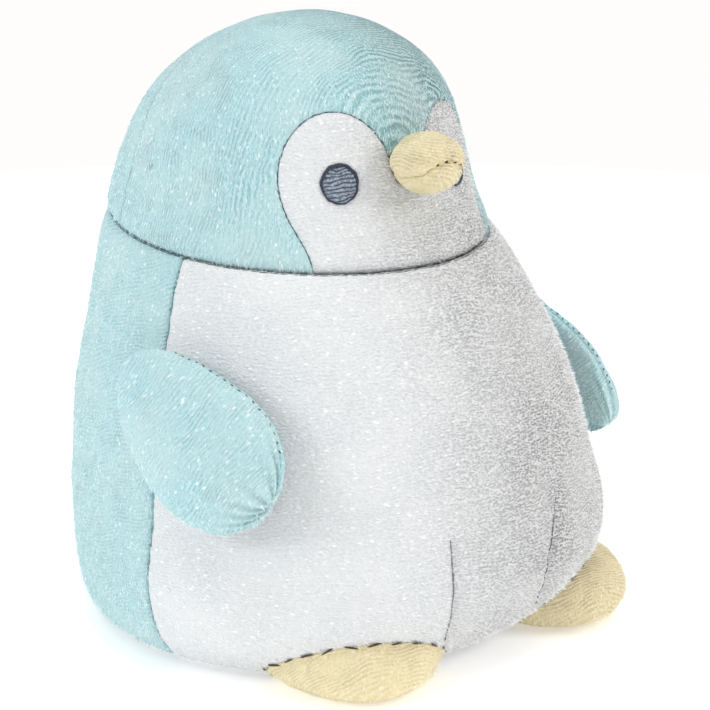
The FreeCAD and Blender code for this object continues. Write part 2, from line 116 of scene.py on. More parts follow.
def plushFabric(name, look):
    # short looped pile knitted in fine wavy rows, broken up by flecks; a few loops are glossy specks with
    # painted highlights, and the colour holds painted shade in the pile's low spots and over one side
    material, tree, where = newMaterial(name)
    # rows: distance along the row direction, bent by two noises, through a sine
    sway = add(tree, "ShaderNodeTexNoise", {"Scale": 1000.0 / look["swayLength"], "Detail": 1.0,
            "Vector": where})
    drift = add(tree, "ShaderNodeTexNoise", {"Scale": 70.0, "Detail": 0.0, "Vector": where})
    run = vectorCalc(tree, "DOT_PRODUCT", where, look["across"])
    perRow = 2 * math.pi / (look["row"] * mm)
    phase = calc(tree, "MULTIPLY_ADD", run, perRow, 0.0)
    bent = calc(tree, "MULTIPLY_ADD", sway, look["sway"] * mm * perRow * 2, phase)
    bentMore = calc(tree, "MULTIPLY_ADD", drift, 2.5 * mm * perRow * 2, bent)
    rows = calc(tree, "SINE", bentMore)
    clump = add(tree, "ShaderNodeTexNoise", {"Scale": 1000.0 / look["clump"], "Detail": 1.5,
            "Vector": where})
    rowMask = remap(tree, clump, 0.42, 0.62, 0.15 * look["rowShare"], 0.6 * look["rowShare"])
    # flecks: noise drawn out along the nap
    laid = add(tree, "ShaderNodeMapping", {"Rotation": look["turn"], "Scale": look["fleck"],
            "Vector": where}, vector_type="TEXTURE")
    fleck = add(tree, "ShaderNodeTexNoise", {"Scale": 1000.0, "Detail": 1.5, "Roughness": 0.5,
            "Vector": laid})
    fleckLift = remap(tree, fleck, 0.33, 0.67)
    rowLift = calc(tree, "MULTIPLY_ADD", rows, rowMask, 0.0)
    height = calc(tree, "MULTIPLY_ADD", fleckLift, 0.8, rowLift)
    # shiny loops: one speck in some cells of a stretched cell pattern; the specks are glossier and raised,
    # and their near-white colour is a painted highlight
    specks = add(tree, "ShaderNodeMapping",
            {"Rotation": look["turn"], "Scale": tuple(v * look["speck"] for v in look["fleck"]),
            "Vector": where}, vector_type="TEXTURE")
    cells = add(tree, "ShaderNodeTexVoronoi", {"Scale": 1000.0, "Randomness": 1.0, "Vector": specks})
    dot = remap(tree, cells.outputs["Distance"], 0.16, 0.30, 1.0, 0.0)
    chance = add(tree, "ShaderNodeSeparateColor", {0: cells.outputs["Color"]})
    chosen = remap(tree, chance, 0.25, 0.95, end=look["sparkle"])
    speck = calc(tree, "MULTIPLY", dot, chosen)
    stood = calc(tree, "MULTIPLY_ADD", speck, 0.7, height)
    # over one side of the piece, towards +x where the light is weak, the pile gets more bump relief,
    # stronger colour contrast and a darker shade colour: painted shade over that side
    sides = vectorCalc(tree, "DOT_PRODUCT", where, (1.0, 0.0, -0.10))
    shadeSideShare = remap(tree, sides, -0.038, 0.012, interpolation_type="SMOOTHSTEP")
    reliefAndShadeContrast = remap(tree, shadeSideShare, start=look["litSideRelief"], end=look["shadeSideRelief"])
    raised = calc(tree, "MULTIPLY", stood, reliefAndShadeContrast)
    bump = add(tree, "ShaderNodeBump", {"Strength": look["bump"], "Distance": look["pile"] * mm,
            "Height": raised})
    # colour contrast of the flecks grows over the shaded side: painted shade
    centred = calc(tree, "SUBTRACT", height, 0.45)
    stretched = calc(tree, "MULTIPLY_ADD", centred, reliefAndShadeContrast, 0.55)
    level = remap(tree, stretched)
    # painted shade: over the shaded side the shade colour turns to the darker sideShade colour
    sideShade = blend(tree, shadeSideShare, colour(look["shade"]), colour(look["sideShade"]))
    # painted shade: the pile's low spots take the shade colour
    deep = blend(tree, level, sideShade, colour(look["base"]))
    cloudShare = remap(tree, drift, 0.35, 0.7, end=look["cloud"])
    worn = blend(tree, cloudShare, deep, colour(look["cast"]))
    # painted highlight: the specks turn to the near-white tip colour
    paintedGlints = blend(tree, speck, worn, colour(look["tip"]))
    rough = remap(tree, speck, start=0.85, end=0.35)
    shader = add(tree, "ShaderNodeBsdfPrincipled",
            {"IOR": 1.5, "Specular IOR Level": 0.35, "Sheen Weight": look["sheen"],
            "Sheen Roughness": 0.45, "Sheen Tint": colour(look["tip"]), "Base Color": paintedGlints, "Normal": bump,
            "Roughness": rough})
    add(tree, "ShaderNodeOutputMaterial", {"Surface": shader})
    return material


def pileFibre(name, look):
    # loose polyester fibre ends: a touch glossier than the cloth, each one its own shade
    material, tree, where = newMaterial(name)
    speck = add(tree, "ShaderNodeTexNoise", {"Scale": 900.0, "Detail": 1.0, "Vector": where})
    share = remap(tree, speck, 0.38, 0.64)
    mixed = blend(tree, share, colour(look["base"]), colour(look["tip"]))
    shader = add(tree, "ShaderNodeBsdfPrincipled",
            {"Roughness": 0.6, "IOR": 1.5, "Specular IOR Level": 0.4, "Sheen Weight": look["sheen"],
            "Sheen Roughness": 0.5, "Base Color": mixed})
    add(tree, "ShaderNodeOutputMaterial", {"Surface": shader})
    return material


def sewingThread(name, base, twistShade, sheen=0.2, rough=0.55):
    # two-ply spun polyester thread: a fine slanted twist whose grooves carry painted shade, and a slight
    # gloss
    material, tree, where = newMaterial(name)
    twist = add(tree, "ShaderNodeTexWave", {"Scale": 700.0, "Distortion": 1.0, "Detail": 1.0,
            "Vector": where}, wave_type="BANDS", bands_direction="DIAGONAL")
    mixed = blend(tree, twist.outputs["Fac"], colour(twistShade), colour(base))
    bump = add(tree, "ShaderNodeBump",
            {"Strength": 0.5, "Distance": 0.0001, "Height": twist.outputs["Fac"]})
    shader = add(tree, "ShaderNodeBsdfPrincipled", {"Roughness": rough, "IOR": 1.5, "Sheen Weight": sheen,
            "Base Color": mixed, "Normal": bump})
    add(tree, "ShaderNodeOutputMaterial", {"Surface": shader})
    return material


def satinThread(name, top, grooveShade):
    # rows of satin stitch: pale where the thread crowns, painted shade between the rows
    material, tree, where = newMaterial(name)
    crest = add(tree, "ShaderNodeAttribute", attribute_name="ridge")
    strand = add(tree, "ShaderNodeTexNoise", {"Scale": 1800.0, "Detail": 1.0, "Vector": where})
    share = calc(tree, "MULTIPLY_ADD", strand, crest.outputs["Fac"], -0.2)
    lit = remap(tree, share, 0.0, 0.42)
    mixed = blend(tree, lit, colour(grooveShade), colour(top))
    bump = add(tree, "ShaderNodeBump", {"Strength": 0.6, "Distance": 0.0001, "Height": strand})
    shader = add(tree, "ShaderNodeBsdfPrincipled", {"Roughness": 0.42, "IOR": 1.5, "Sheen Weight": 0.1,
            "Base Color": mixed, "Normal": bump})
    add(tree, "ShaderNodeOutputMaterial", {"Surface": shader})
    return material


plushLook = {
    # fleck: its size in mm along x, y and z; speck: cell size in flecks; row: spacing of the rows in mm;
    # across: the way they follow each other; sway: how far rows wander in mm, over swayLength;
    # clump: size in mm of the patches where rows show; pile: relief in mm; litSideRelief and
    # shadeSideRelief: relief and colour contrast on the lit and the shaded side, the contrast partly
    # painted shade; sideShade: painted shade colour of the shaded side
    "aqua": {
        "base": "C2E3E7", "shade": "98C6CD", "sideShade": "578A92", "tip": "F4FFFF", "cast": "C8DFE1",
        "fleck": (0.40, 0.40, 0.90), "turn": (0, 0, 0), "speck": 2.9, "row": 0.95,
        "across": (0.0, 1.0, 0.0), "sway": 0.42, "swayLength": 3.2, "rowShare": 1.0, "clump": 5.0,
        "pile": 0.34, "bump": 0.8,
        "sparkle": 1.0, "cloud": 0.5, "sheen": 0.4, "litSideRelief": 0.85, "shadeSideRelief": 3.2},
    "white": {
        "base": "EAECEE", "shade": "CED1D4", "sideShade": "A09F9F", "tip": "FFFFFF", "cast": "E9EAEB",
        "fleck": (0.80, 0.80, 0.38), "turn": (0, 0, 0), "speck": 2.9, "row": 0.95,
        "across": (0.0, 0.1, 1.0), "sway": 0.5, "swayLength": 3.5, "rowShare": 0.35, "clump": 4.0,
        "pile": 0.32, "bump": 0.9,
        "sparkle": 1.0, "cloud": 0.4, "sheen": 0.3, "litSideRelief": 0.65, "shadeSideRelief": 2.5},
    "cream": {
        "base": "F9EECB", "shade": "E2D3A4", "sideShade": "CDBE90", "tip": "FFFBEA", "cast": "E6D9AF",
        "fleck": (0.45, 0.45, 0.45), "turn": (0, 0, 0), "speck": 4.0, "row": 0.85,
        "across": (0.2, 0.75, 0.63), "sway": 0.4, "swayLength": 3.0, "rowShare": 1.1, "clump": 5.0,
        "pile": 0.30, "bump": 0.85,
        "sparkle": 0.6, "cloud": 0.5, "sheen": 0.25, "litSideRelief": 0.8, "shadeSideRelief": 1.1},
}
# short blue-green pile: wavy rows over the crown, upright flecks at the sides
aquaKnit = plushFabric("aqua plush knit", plushLook["aqua"])
# the same cloth cut on the slant
flipperKnit = plushFabric("aqua plush knit, slanted", dict(plushLook["aqua"], rowShare=0.9, bump=0.7,
        across=(0.465, -0.637, -0.615), turn=(0.456, 0.618, 0.0), sway=0.55, swayLength=2.5, litSideRelief=0.85,
        shadeSideRelief=0.9, sideShade="98C6CD"))
# body sides: rows lie flat, flecks show
sideKnit = plushFabric("aqua plush knit, upright", dict(plushLook["aqua"], rowShare=0.7, bump=0.85,
        across=(0.0, 0.30, 0.95), fleck=(0.5, 0.5, 0.6)))
# white pile with short sideways loops, some with painted highlights
whitePlush = plushFabric("white plush knit", plushLook["white"])
creamKnit = plushFabric("cream plush knit", plushLook["cream"])   # straw-coloured pile in close wavy rows
# the same cloth, more crumpled
beakKnit = plushFabric("cream plush knit, slanted",
        dict(plushLook["cream"], row=0.8, across=(0.45, 0.2, 0.87), fleck=(0.4, 0.4, 0.4), rowShare=1.2,
        bump=1.0))
aquaFibre = pileFibre("aqua polyester fibre", plushLook["aqua"])
whiteFibre = pileFibre("white polyester fibre", plushLook["white"])
creamFibre = pileFibre("cream polyester fibre", plushLook["cream"])
tealThread = sewingThread("teal polyester thread", "3F6F7C", "24454F")
navyThread = sewingThread("navy satin thread", "263350", "10172A", 0.1, 0.4)
# slate satin with painted shade between its rows
satinFill = satinThread("slate satin thread", "A2AFBC", "3A465A")   # shiny slate embroidery
brownThread = sewingThread("brown cotton thread", "4A3526", "2A1C12")
aquaThread = sewingThread("aqua polyester thread", "8CC3CB", "5E98A2")
creamThread = sewingThread("cream polyester thread", "CDBB8E", "A08C5E")
# dark thread for the neck seam, laid close so that it also stands for the shadow line under the head:
# partly painted shadow
neckThreadAndShadow = sewingThread("slate blue polyester thread", "4C6A74", "2C444C")
greyThread = sewingThread("grey cotton thread", "85868D", "5C5E68")
stage("materials ready")


def settle(name, mesh, body, nodes, slotName):
    # the mesh as an object of the scene that rides its body
    mesh.name = name
    piece = bpy.data.objects.new(name, mesh)
    scene.collection.objects.link(piece)
    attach(piece, body)
    if nodes:
        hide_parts(*nodes)
    return piece


def makePiece(name, points, faces, material, slotName, body="torso", nodes=(), wall=0.0,
        ridge=None):
    # a smooth piece from points in mm; wall is the cloth's thickness, ridge a value for the material
    mesh = bpy.data.meshes.new(name)
    mesh.from_pydata((np.asarray(points) * mm).tolist(), [], [tuple(int(i) for i in f) for f in faces])
    if ridge is not None:
        mesh.attributes.new("ridge", "FLOAT", "POINT").data.foreach_set("value", ridge.astype(np.float32))
    work = bmesh.new()
    work.from_mesh(mesh)
    bmesh.ops.remove_doubles(work, verts=work.verts, dist=0.00001)
    work.to_mesh(mesh)
    work.free()
    mesh.polygons.foreach_set("use_smooth", [True] * len(mesh.polygons))
    mesh.materials.append(material)
    piece = settle(name, mesh, body, nodes, slotName)
    if wall:
        shell = piece.modifiers.new("wall", "SOLIDIFY")
        shell.thickness = wall * mm
        shell.offset = -1
    return piece


def grid(us, vs):
    # flat parameters and four-sided faces of a grid, u across and v along
    u, v = np.meshgrid(us, vs)
    params = np.stack([u.ravel(), v.ravel()], 1)
    n, m = len(us), len(vs)
    index = np.arange(n * m).reshape(m, n)
    faces = np.stack([index[:-1, :-1], index[:-1, 1:], index[1:, 1:], index[1:, :-1]], -1).reshape(-1, 4)
    return params, faces


def clip(params, faces, field):
    # the part of a grid where the field is positive, its border cut through the faces it crosses
    inside = field > 0
    count = inside[faces].sum(1)
    kept = [tuple(f) for f in faces[count == 4]]
    extra, known = [], {}
    for face in faces[(count > 0) & (count < 4)]:
        loop = []
        for a, b in zip(face, np.roll(face, -1)):
            if inside[a]:
                loop.append(a)
            if inside[a] != inside[b]:
                key = (min(a, b), max(a, b))
                if key not in known:
                    share = field[key[0]] / (field[key[0]] - field[key[1]])
                    known[key] = len(params) + len(extra)
                    extra.append(params[key[0]] + (params[key[1]] - params[key[0]]) * share)
                loop.append(known[key])
        kept.append(tuple(loop))
    allParams = np.vstack([params, extra]) if extra else params
    used = np.unique(np.concatenate([np.asarray(f) for f in kept]))
    renumber = np.full(len(allParams), -1)
    renumber[used] = np.arange(len(used))
    return allParams[used], [tuple(renumber[i] for i in f) for f in kept]


def unit(v):
    return v / np.maximum(np.linalg.norm(v, axis=-1, keepdims=True), 1e-9)


def lumps(points, size, seed):
    # smooth noise from -1 to 1 with features of that size in mm
    return np.array([noise.noise(Vector((p[0] / size + seed, p[1] / size, p[2] / size))) for p in points])


def roll(distance, radius, depth):
    # how far a sewn edge turns in, at a distance from its seam
    t = np.clip(1 - distance / radius, 0, 1)
    return depth * (1 - np.sqrt(1 - t * t))


form = {
    "bodyRadius": 72.3, "neckLevel": 107.4, "neckTilt": math.radians(6.0), "headHeight": 52.63,
    # share of the neck height, share of the body radius, lean as a share of the body radius
    "sections": [(0.000, 0.837, -0.048), (0.037, 0.889, -0.083), (0.121, 0.957, -0.159),
        (0.261, 1.000, -0.228), (0.419, 0.976, -0.194),
                 (0.605, 0.927, -0.155), (0.801, 0.833, -0.089), (1.000, 0.729, 0.000),
                 (1.080, 0.690, 0.030)],
}


def sectionTable():
    rows = form["sections"]
    shares = np.linspace(0, 1.08, 541)
    out = []
    for share in shares:
        # the span that this share is in
        i = max(j for j in range(len(rows) - 1) if rows[j][0] <= share + 1e-12)
        span = rows[i + 1][0] - rows[i][0]
        t = (share - rows[i][0]) / span
        values = []
        for c in (1, 2):
            def slope(k):
                low, high = max(0, k - 1), min(len(rows) - 1, k + 1)
                return (rows[high][c] - rows[low][c]) / (rows[high][0] - rows[low][0])
            first = (2 * t ** 3 - 3 * t ** 2 + 1) * rows[i][c] + (t ** 3 - 2 * t ** 2 + t) * span * slope(i)
            last = (3 * t ** 2 - 2 * t ** 3) * rows[i + 1][c] + (t ** 3 - t ** 2) * span * slope(i + 1)
            values.append(first + last)
        out.append(values)
    return shares * form["neckLevel"], np.array(out) * form["bodyRadius"]


bodyLevels, bodyWidths = sectionTable()


def bodySection(z):
    return np.interp(z, bodyLevels, bodyWidths[:, 0]), np.interp(z, bodyLevels, bodyWidths[:, 1])


def neckHeight(forward):
    return form["neckLevel"] + math.tan(form["neckTilt"]) * forward


def neckSag(theta):
    # the neck seam is sewn a little lower on the penguin's own right
    return -1.3 * np.clip(-np.cos(theta), 0, 1) ** 2


def neckAt(theta):
    level = np.full_like(theta, form["neckLevel"])
    for _ in range(5):
        r, mid = bodySection(level)
        level = form["neckLevel"] + math.tan(form["neckTilt"]) * (mid + r * np.sin(theta)) + neckSag(theta)
    return level


# height in mm, spread round the body, level and spread up it
bulges = ((1.2, 0.45, 24, 22), (2.2, 0.40, 15, 7))
bulgeTurn = math.radians(-40)                             # the filling bulges out over the left foot


def bodyPoint(theta, z):
    # a point of the body's cloth; theta is 0 at +X and runs towards +Y
    r, mid = bodySection(z)
    below = np.maximum(neckAt(theta) - z, 0)
    front = 0.5 - 0.5 * np.sin(theta)
    # drawn in under the neck seam, most at the front
    r = r - 3.2 * np.exp(-below / 6.0) * (0.35 + 0.65 * front)
    turn = np.remainder(theta - bulgeTurn + math.pi, 2 * math.pi) - math.pi
    for high, wide, level, tall in bulges:
        r = r + high * np.exp(-(turn / wide) ** 2 - ((z - level) / tall) ** 2)
    return np.stack([r * np.cos(theta), mid + r * np.sin(theta), z], -1)


def headSection(z):
    w = np.clip((z - form["neckLevel"]) / form["headHeight"], -0.2, 1)
    r = np.sqrt(np.maximum(1 - w * w, 0)) * (51.52 - 19.55 * w + 40.22 * w ** 2 - 20.49 * w ** 3)
    return r, 1.24 + 7.37 * w - 26.02 * w ** 2 + 11.88 * w ** 3


def headPoint(theta, phi):
    z = form["neckLevel"] + form["headHeight"] * np.sin(phi)
    r, mid = headSection(z)
    return np.stack([r * np.cos(theta), mid + r * np.sin(theta), z], -1)


def headRim(theta):
    # phi where the head meets the sloping neck plane
    phi = np.zeros_like(theta)
    for _ in range(8):
        p = headPoint(theta, phi)
        phi = np.arcsin((math.tan(form["neckTilt"]) * p[..., 1] + neckSag(theta)) / form["headHeight"])
    return phi


def surfaceFrame(pointAt, params, step=(0.002, 0.002)):
    u, v = params[:, 0], params[:, 1]
    across = pointAt(u + step[0], v) - pointAt(u - step[0], v)
    along = pointAt(u, v + step[1]) - pointAt(u, v - step[1])
    return pointAt(u, v), unit(np.cross(across, along))


def seamDistance(field, points, normals):
    # the field's value as a distance along the cloth
    step = 0.05
    base = field(points)
    slopes = []
    for axis in np.eye(3):
        slopes.append((field(points + axis * step) - base) / step)
    slope = np.stack(slopes, -1)
    slope -= normals * (slope * normals).sum(-1, keepdims=True)
    return base / np.maximum(np.linalg.norm(slope, axis=-1), 0.3)


def sideField(p):
    # zero on the side seams, an arc seen from the side with two soft bends; positive over the belly
    z = p[..., 2]
    bend = 2.9 * np.exp(-((z - 68) / 24) ** 2) - 1.6 * np.exp(-((z - 108) / 9) ** 2)
    return np.hypot(p[..., 1] - 97.7 - bend, z - 44.0) - 128.4


rearLine = 10.0     # the seam over the back of the head


def rearField(p):
    return p[..., 1] - rearLine


faceShape = {"lobeSide": 18.0, "lobeLevel": 119.5, "lobeWide": 13.8, "lobeTall": 19.2, "chinSide": 29.5,
        "chinTop": 113.0, "bridgeSide": 8.0, "bridgeTop": 121.0}


def softMin(values, radius):
    values = np.stack(values)
    return -radius * np.log(np.exp(-values / radius).sum(0))


def faceField(p):
    # negative inside the heart-shaped face, seen from the front
    s = faceShape
    x, z = np.abs(p[..., 0]), p[..., 2]
    away = np.hypot((x - s["lobeSide"]) / s["lobeWide"], (z - s["lobeLevel"]) / s["lobeTall"])
    lobe = (away - 1) * s["lobeWide"] * 1.1
    chin = np.maximum(x - s["chinSide"], z - s["chinTop"])
    bridge = np.maximum(x - s["bridgeSide"], z - s["bridgeTop"])
    value = softMin([lobe, chin, bridge], 0.7)
    return np.where(p[..., 1] < 0, value, 60.0)


def polyDistance(points, path):
    # distance to a line of points
    best = np.full(len(points), 1e9)
    path = np.asarray(path, float)
    for a, b in zip(path[:-1], path[1:]):
        d = b - a
        t = np.clip(((points - a) @ d) / (d @ d), 0, 1)
        best = np.minimum(best, np.linalg.norm(points - (a + t[:, None] * d), axis=1))
    return best


darts = {
    "right": [(-19.4, -83.6, 42.0), (-20.4, -85.2, 33.0), (-20.6, -85.4, 26.4), (-17.6, -80.6, 14.0)],
    "left": [(18.2, -83.1, 43.7), (13.6, -85.5, 37.5), (9.6, -87.8, 31.5), (9.4, -87.4, 26.0),
        (13.3, -82.4, 15.0)],
}


def bodyCloth(params, seed):
    # body cloth at (theta, share of the way up): lumps, rolled edges, darts
    def pointAt(theta, share):
        top = neckAt(theta)
        return bodyPoint(theta, 1.0 + (top - 1.0) * share)
    points, normals = surfaceFrame(pointAt, params)
    side = np.abs(seamDistance(sideField, points, normals))
    back = np.where(points[:, 1] > 0, np.abs(points[:, 0]), 60.0)
    back = np.where(sideField(points) < 0, back, 60.0)
    seat = points[:, 2] - 1.0
    neck = neckAt(params[:, 0]) - points[:, 2]
    depth = roll(np.minimum(side, back), 1.7, 1.0) + roll(seat, 2.2, 1.1) + roll(neck, 2.2, 1.4)
    for path in darts.values():
        d = polyDistance(points, path)
        depth = depth + 0.9 * np.exp(-(d / 1.25) ** 2) + 0.5 * np.exp(-(d / 4.0) ** 2)
    near = np.minimum(np.minimum(side, back), np.minimum(seat, neck))
    swell = 0.45 * lumps(points, 24, seed) + 0.22 * lumps(points, 9, seed + 7)
    pucker = 0.28 * np.exp(-near / 3.5) * lumps(points, 3.2, seed + 13)
    wave = 2 * math.pi * points[:, 2] / 2.3 + 2.0 * lumps(points, 14, 3)
    gather = 0.16 * np.exp(-side / 2.6) * np.sin(wave)
    gather = np.where(sideField(points) < 0, gather, 0.3 * gather)
    lift = swell * (1 - np.exp(-near / 5)) + pucker + gather - depth
    return points + normals * lift[:, None], normals


# ridge: spacing of the satin rows
eye = {"side": 19.5, "forward": -42.2, "level": 121.7, "radius": 5.05, "rim": 0.9, "ridge": 0.92}


def headCloth(params, seed=3):
    # head cloth at (theta, share of the way from the neck to the crown)
    def pointAt(theta, share):
        low = headRim(theta)
        return headPoint(theta, low + (math.pi / 2 - low) * share)
    points, normals = surfaceFrame(pointAt, params)
    normals = np.where(params[:, 1:2] > 0.9995, np.array([[0, 0, 1.0]]), normals)
    heart = np.abs(seamDistance(faceField, points, normals))
    rear = np.abs(seamDistance(rearField, points, normals))
    neck = points[:, 2] - (neckHeight(points[:, 1]) + neckSag(params[:, 0]))
    depth = roll(heart, 1.5, 0.8) + roll(rear, 1.5, 0.8) + roll(neck, 3.4, 2.3)
    for side in (-1, 1):
        # drawn in round the eyes
        away = np.linalg.norm(points - np.array([side * eye["side"], eye["forward"], eye["level"]]), axis=1)
        depth = depth + 0.55 * np.exp(-np.maximum(away - 4.2, 0) / 1.6)
    near = np.minimum(np.minimum(heart, rear), neck)
    swell = 0.40 * lumps(points, 20, seed) + 0.2 * lumps(points, 8, seed + 7)
    pucker = 0.22 * np.exp(-near / 3.0) * lumps(points, 3.0, seed + 13)
    lift = swell * (1 - np.exp(-near / 5)) + pucker - depth
    return points + normals * lift[:, None], normals


cell = 0.85    # side of a cloth face in mm
bodySeed = 1.0                        # all body panels share their lumps, so that they meet at the seams


def bodyPanel(name, field, material, slotName, *nodes):
    around = int(2 * math.pi * 70 / cell)
    up = int(110 / cell)
    params, faces = grid(np.linspace(math.pi / 2, math.pi * 2.5, around + 1), np.linspace(0, 1, up + 1))
    flat = bodyPoint(params[:, 0], 1.0 + (neckAt(params[:, 0]) - 1.0) * params[:, 1])
    params, faces = clip(params, faces, field(flat))
    points, _ = bodyCloth(params, bodySeed)
    makePiece(name, points, faces, material, slotName, nodes=nodes, wall=0.9)


bodyPanel("belly_plush", sideField, whitePlush, "white_plush", "belly_panel", "body_stuffing")
bodyPanel("back_left_plush", lambda p: np.minimum(-sideField(p),
        np.where(p[:, 1] > 0, p[:, 0] + 0.001, p[:, 0])), sideKnit, "aqua_knit", "back_left_panel")
bodyPanel("back_right_plush", lambda p: np.minimum(-sideField(p), -p[:, 0] + 0.001), sideKnit, "aqua_knit",
        "back_right_panel")
stage("body panels")


seat = {"reach": 62.0, "hem": 1.2, "rolled": 3.0, "rise": 0.9, "lumps": 0.1}


def seatPanel():
    # a nearly flat disc that turns up into the seat seam
    params, faces = grid(np.linspace(0, 2 * math.pi, 261), np.linspace(0, 1, 61))
    edge = bodyPoint(params[:, 0], np.full(len(params), 1.0))
    centre = np.array([0, bodySection(np.array([1.0]))[1][0], 0.0])
    share = params[:, 1]
    points = centre + (edge - centre) * (1 - share)[:, None] * (1 - seat["hem"] / seat["reach"])
    turned = np.clip(1 - share * seat["reach"] / seat["rolled"], 0, 1)
    hem = seat["rise"] * (1 - np.sqrt(1 - turned ** 2))
    points[:, 2] = 0.15 + hem + seat["lumps"] * lumps(points, 12, 5)
    makePiece("seat_plush", points, [f[::-1] for f in faces], whitePlush, "white_plush",
            nodes=("seat_panel",), wall=0.6)


seatPanel()


def headPanel(name, field, material, slotName, *nodes):
    around = int(2 * math.pi * 50 / cell)
    up = int(88 / cell)
    params, faces = grid(np.linspace(math.pi / 2, math.pi * 2.5, around + 1), np.linspace(0, 1, up + 1))
    low = headRim(params[:, 0])
    flat = headPoint(params[:, 0], low + (math.pi / 2 - low) * params[:, 1])
    params, faces = clip(params, faces, field(flat))
    points, _ = headCloth(params)
    makePiece(name, points, faces, material, slotName, nodes=nodes, wall=0.9)


headPanel("face_plush", lambda p: -faceField(p), whitePlush, "white_plush", "face_panel", "head_stuffing")
headPanel("crown_plush", lambda p: np.minimum(faceField(p), -rearField(p)), aquaKnit, "aqua_knit",
        "head_crown_panel")
headPanel("head_rear_plush", rearField, aquaKnit, "aqua_knit", "head_rear_panel")
stage("head panels")


def onHead(points, lift):
    # the nearest head cloth along the level line through each point, raised by lift mm
    r, mid = headSection(points[:, 2])
    theta = np.arctan2(points[:, 1] - mid, points[:, 0])
    phi = np.arcsin((points[:, 2] - form["neckLevel"]) / form["headHeight"])
    low = headRim(theta)
    cloth, normals = headCloth(np.stack([theta, (phi - low) / (math.pi / 2 - low)], 1))
    return cloth + normals * (np.ones(len(points)) * lift)[:, None]


def buildEye(word, side):
    # a satin disc of bent rows inside a raised ring, both laid on the head's cloth
    centre = np.array([side * eye["side"], eye["forward"], eye["level"]])
    outward = unit(np.array([side * 0.41, -0.88, 0.242]))
    across = unit(np.cross(np.array([0, 0, 1.0]), outward))
    up = np.cross(outward, across)
    inner = eye["radius"] - eye["rim"]
    params, faces = grid(np.linspace(0, 2 * math.pi, 145), np.linspace(0, 1, 44))
    angle, share = params[:, 0], params[:, 1]
    radius = inner * 1.1 * (1 - share)
    a, b = radius * np.cos(angle), radius * np.sin(angle)
    flat = centre + a[:, None] * across + b[:, None] * up
    wave = 0.55 * lumps(flat, 2.6, 2.0 + side) + 0.18 * lumps(flat, 1.1, 5.0) - 0.12 * a
    ridges = np.abs(np.sin(math.pi * (b + wave) / eye["ridge"])) ** 0.6
    lift = 0.05 + 0.40 * ridges * (0.8 + 0.5 * lumps(flat, 1.3, 8.0))
    makePiece("eye_%s_satin" % word, onHead(flat, lift), faces, satinFill, "slate_thread",
            nodes=("eye_%s_fill" % word,), ridge=ridges)
    params, faces = grid(np.linspace(0, 2 * math.pi, 181), np.linspace(0, 1, 13))
    angle, share = params[:, 0], params[:, 1]
    middle = (eye["radius"] + inner) / 2
    # sewn thicker over the top
    wide = (eye["rim"] / 2) * (1.0 + 0.42 * np.sin(angle) + 0.10 * np.sin(angle * 5 + side))
    turn = math.pi * share
    radius = middle + wide * np.cos(turn)
    radius = radius + 0.07 * np.sin(angle * 7 + side) + 0.05 * np.sin(angle * 13)
    flat = centre + (radius * np.cos(angle))[:, None] * across + (radius * np.sin(angle))[:, None] * up
    lift = -0.3 + 0.95 * np.sin(turn) + 0.08 * np.sin(angle * 40 + turn * 2)
    makePiece("eye_%s_rim" % word, onHead(flat, lift), [f[::-1] for f in faces], navyThread, "navy_thread",
            nodes=("eye_%s_outline" % word,))


buildEye("right", -1)
buildEye("left", 1)
stage("eyes")


beak = {"centre": (0.0, -51.5, 126.3), "wide": 8.9, "tall": 6.8, "deep": 8.0, "gap": 0.3, "mouth": 126.2}


def outOf(points, section, gap):
    # points that lie inside the form are pressed out onto it
    r, mid = section(points[:, 2])
    dx, dy = points[:, 0], points[:, 1] - mid
    away = np.hypot(dx, dy)
    need = r + gap
    scale = np.where(away < need, need / np.maximum(away, 1e-6), 1.0)
    return np.stack([dx * scale, mid + dy * scale, points[:, 2]], 1)


def beakCloth(params, pout):
    # the beak's cloth and its height over the mouth line, which is drawn in
    c = np.array(beak["centre"])
    size = np.array([beak["wide"], beak["deep"], beak["tall"]])
    angle, tilt = params[:, 0], params[:, 1] * math.pi * 0.8       # tilt runs from the tip towards the face
    ball = np.stack([np.sin(tilt) * np.cos(angle), -np.cos(tilt), np.sin(tilt) * np.sin(angle)], 1)
    points = ball * size + c
    normals = unit((points - c) / size ** 2)
    x = points[:, 0]
    toMouth = points[:, 2] - (beak["mouth"] + 1.5 - 0.07 * x ** 2 + 0.2 * np.sin(x * 1.3 + 0.6))
    away = np.abs(toMouth)
    dent = 1.5 * np.exp(-(away / 0.7) ** 1.3) + 0.9 * np.exp(-(toMouth / 2.3) ** 2)
    puckers = 0.30 * lumps(points, 2.4, 4) + 0.28 * lumps(points, 5.5, 9)
    puckers = puckers + 0.32 * np.exp(-away / 2.2) * np.sin(x * 2.7 + toMouth)
    points = points + normals * (puckers - dent + pout * np.exp(-(toMouth / 2.2) ** 2))[:, None]
    return points, toMouth


def buildBeak():
    params, faces = grid(np.linspace(0, 2 * math.pi, 241), np.linspace(0, 1, 91))
    flat, toMouth = beakCloth(params, 0.0)
    r, mid = headSection(flat[:, 2])
    clear = np.hypot(flat[:, 0], flat[:, 1] - mid) - r + 0.5
    for word, sign, pout, filling in (("upper", 1, 0.5, ("beak_stuffing",)), ("lower", -1, 0.0, ())):
        part, partFaces = clip(params, faces, np.minimum(sign * toMouth, clear))
        points, _ = beakCloth(part, pout)
        makePiece("beak_%s_plush" % word, outOf(points, headSection, beak["gap"]), partFaces, beakKnit,
                "cream_knit", nodes=("beak_%s_panel" % word,) + filling, wall=0.7)


buildBeak()
stage("beak")


feet = {
    "right": {"side": -26.9, "forward": -50.0, "tall": 13.4, "level": 9.3},
    "left": {"side": 38.2, "forward": -53.8, "tall": 10.7, "level": 7.8},
    "wide": 22.8, "long": 29.8, "gap": 0.6, "full": 0.66, "seam": 1.0, "rest": 0.35,
}


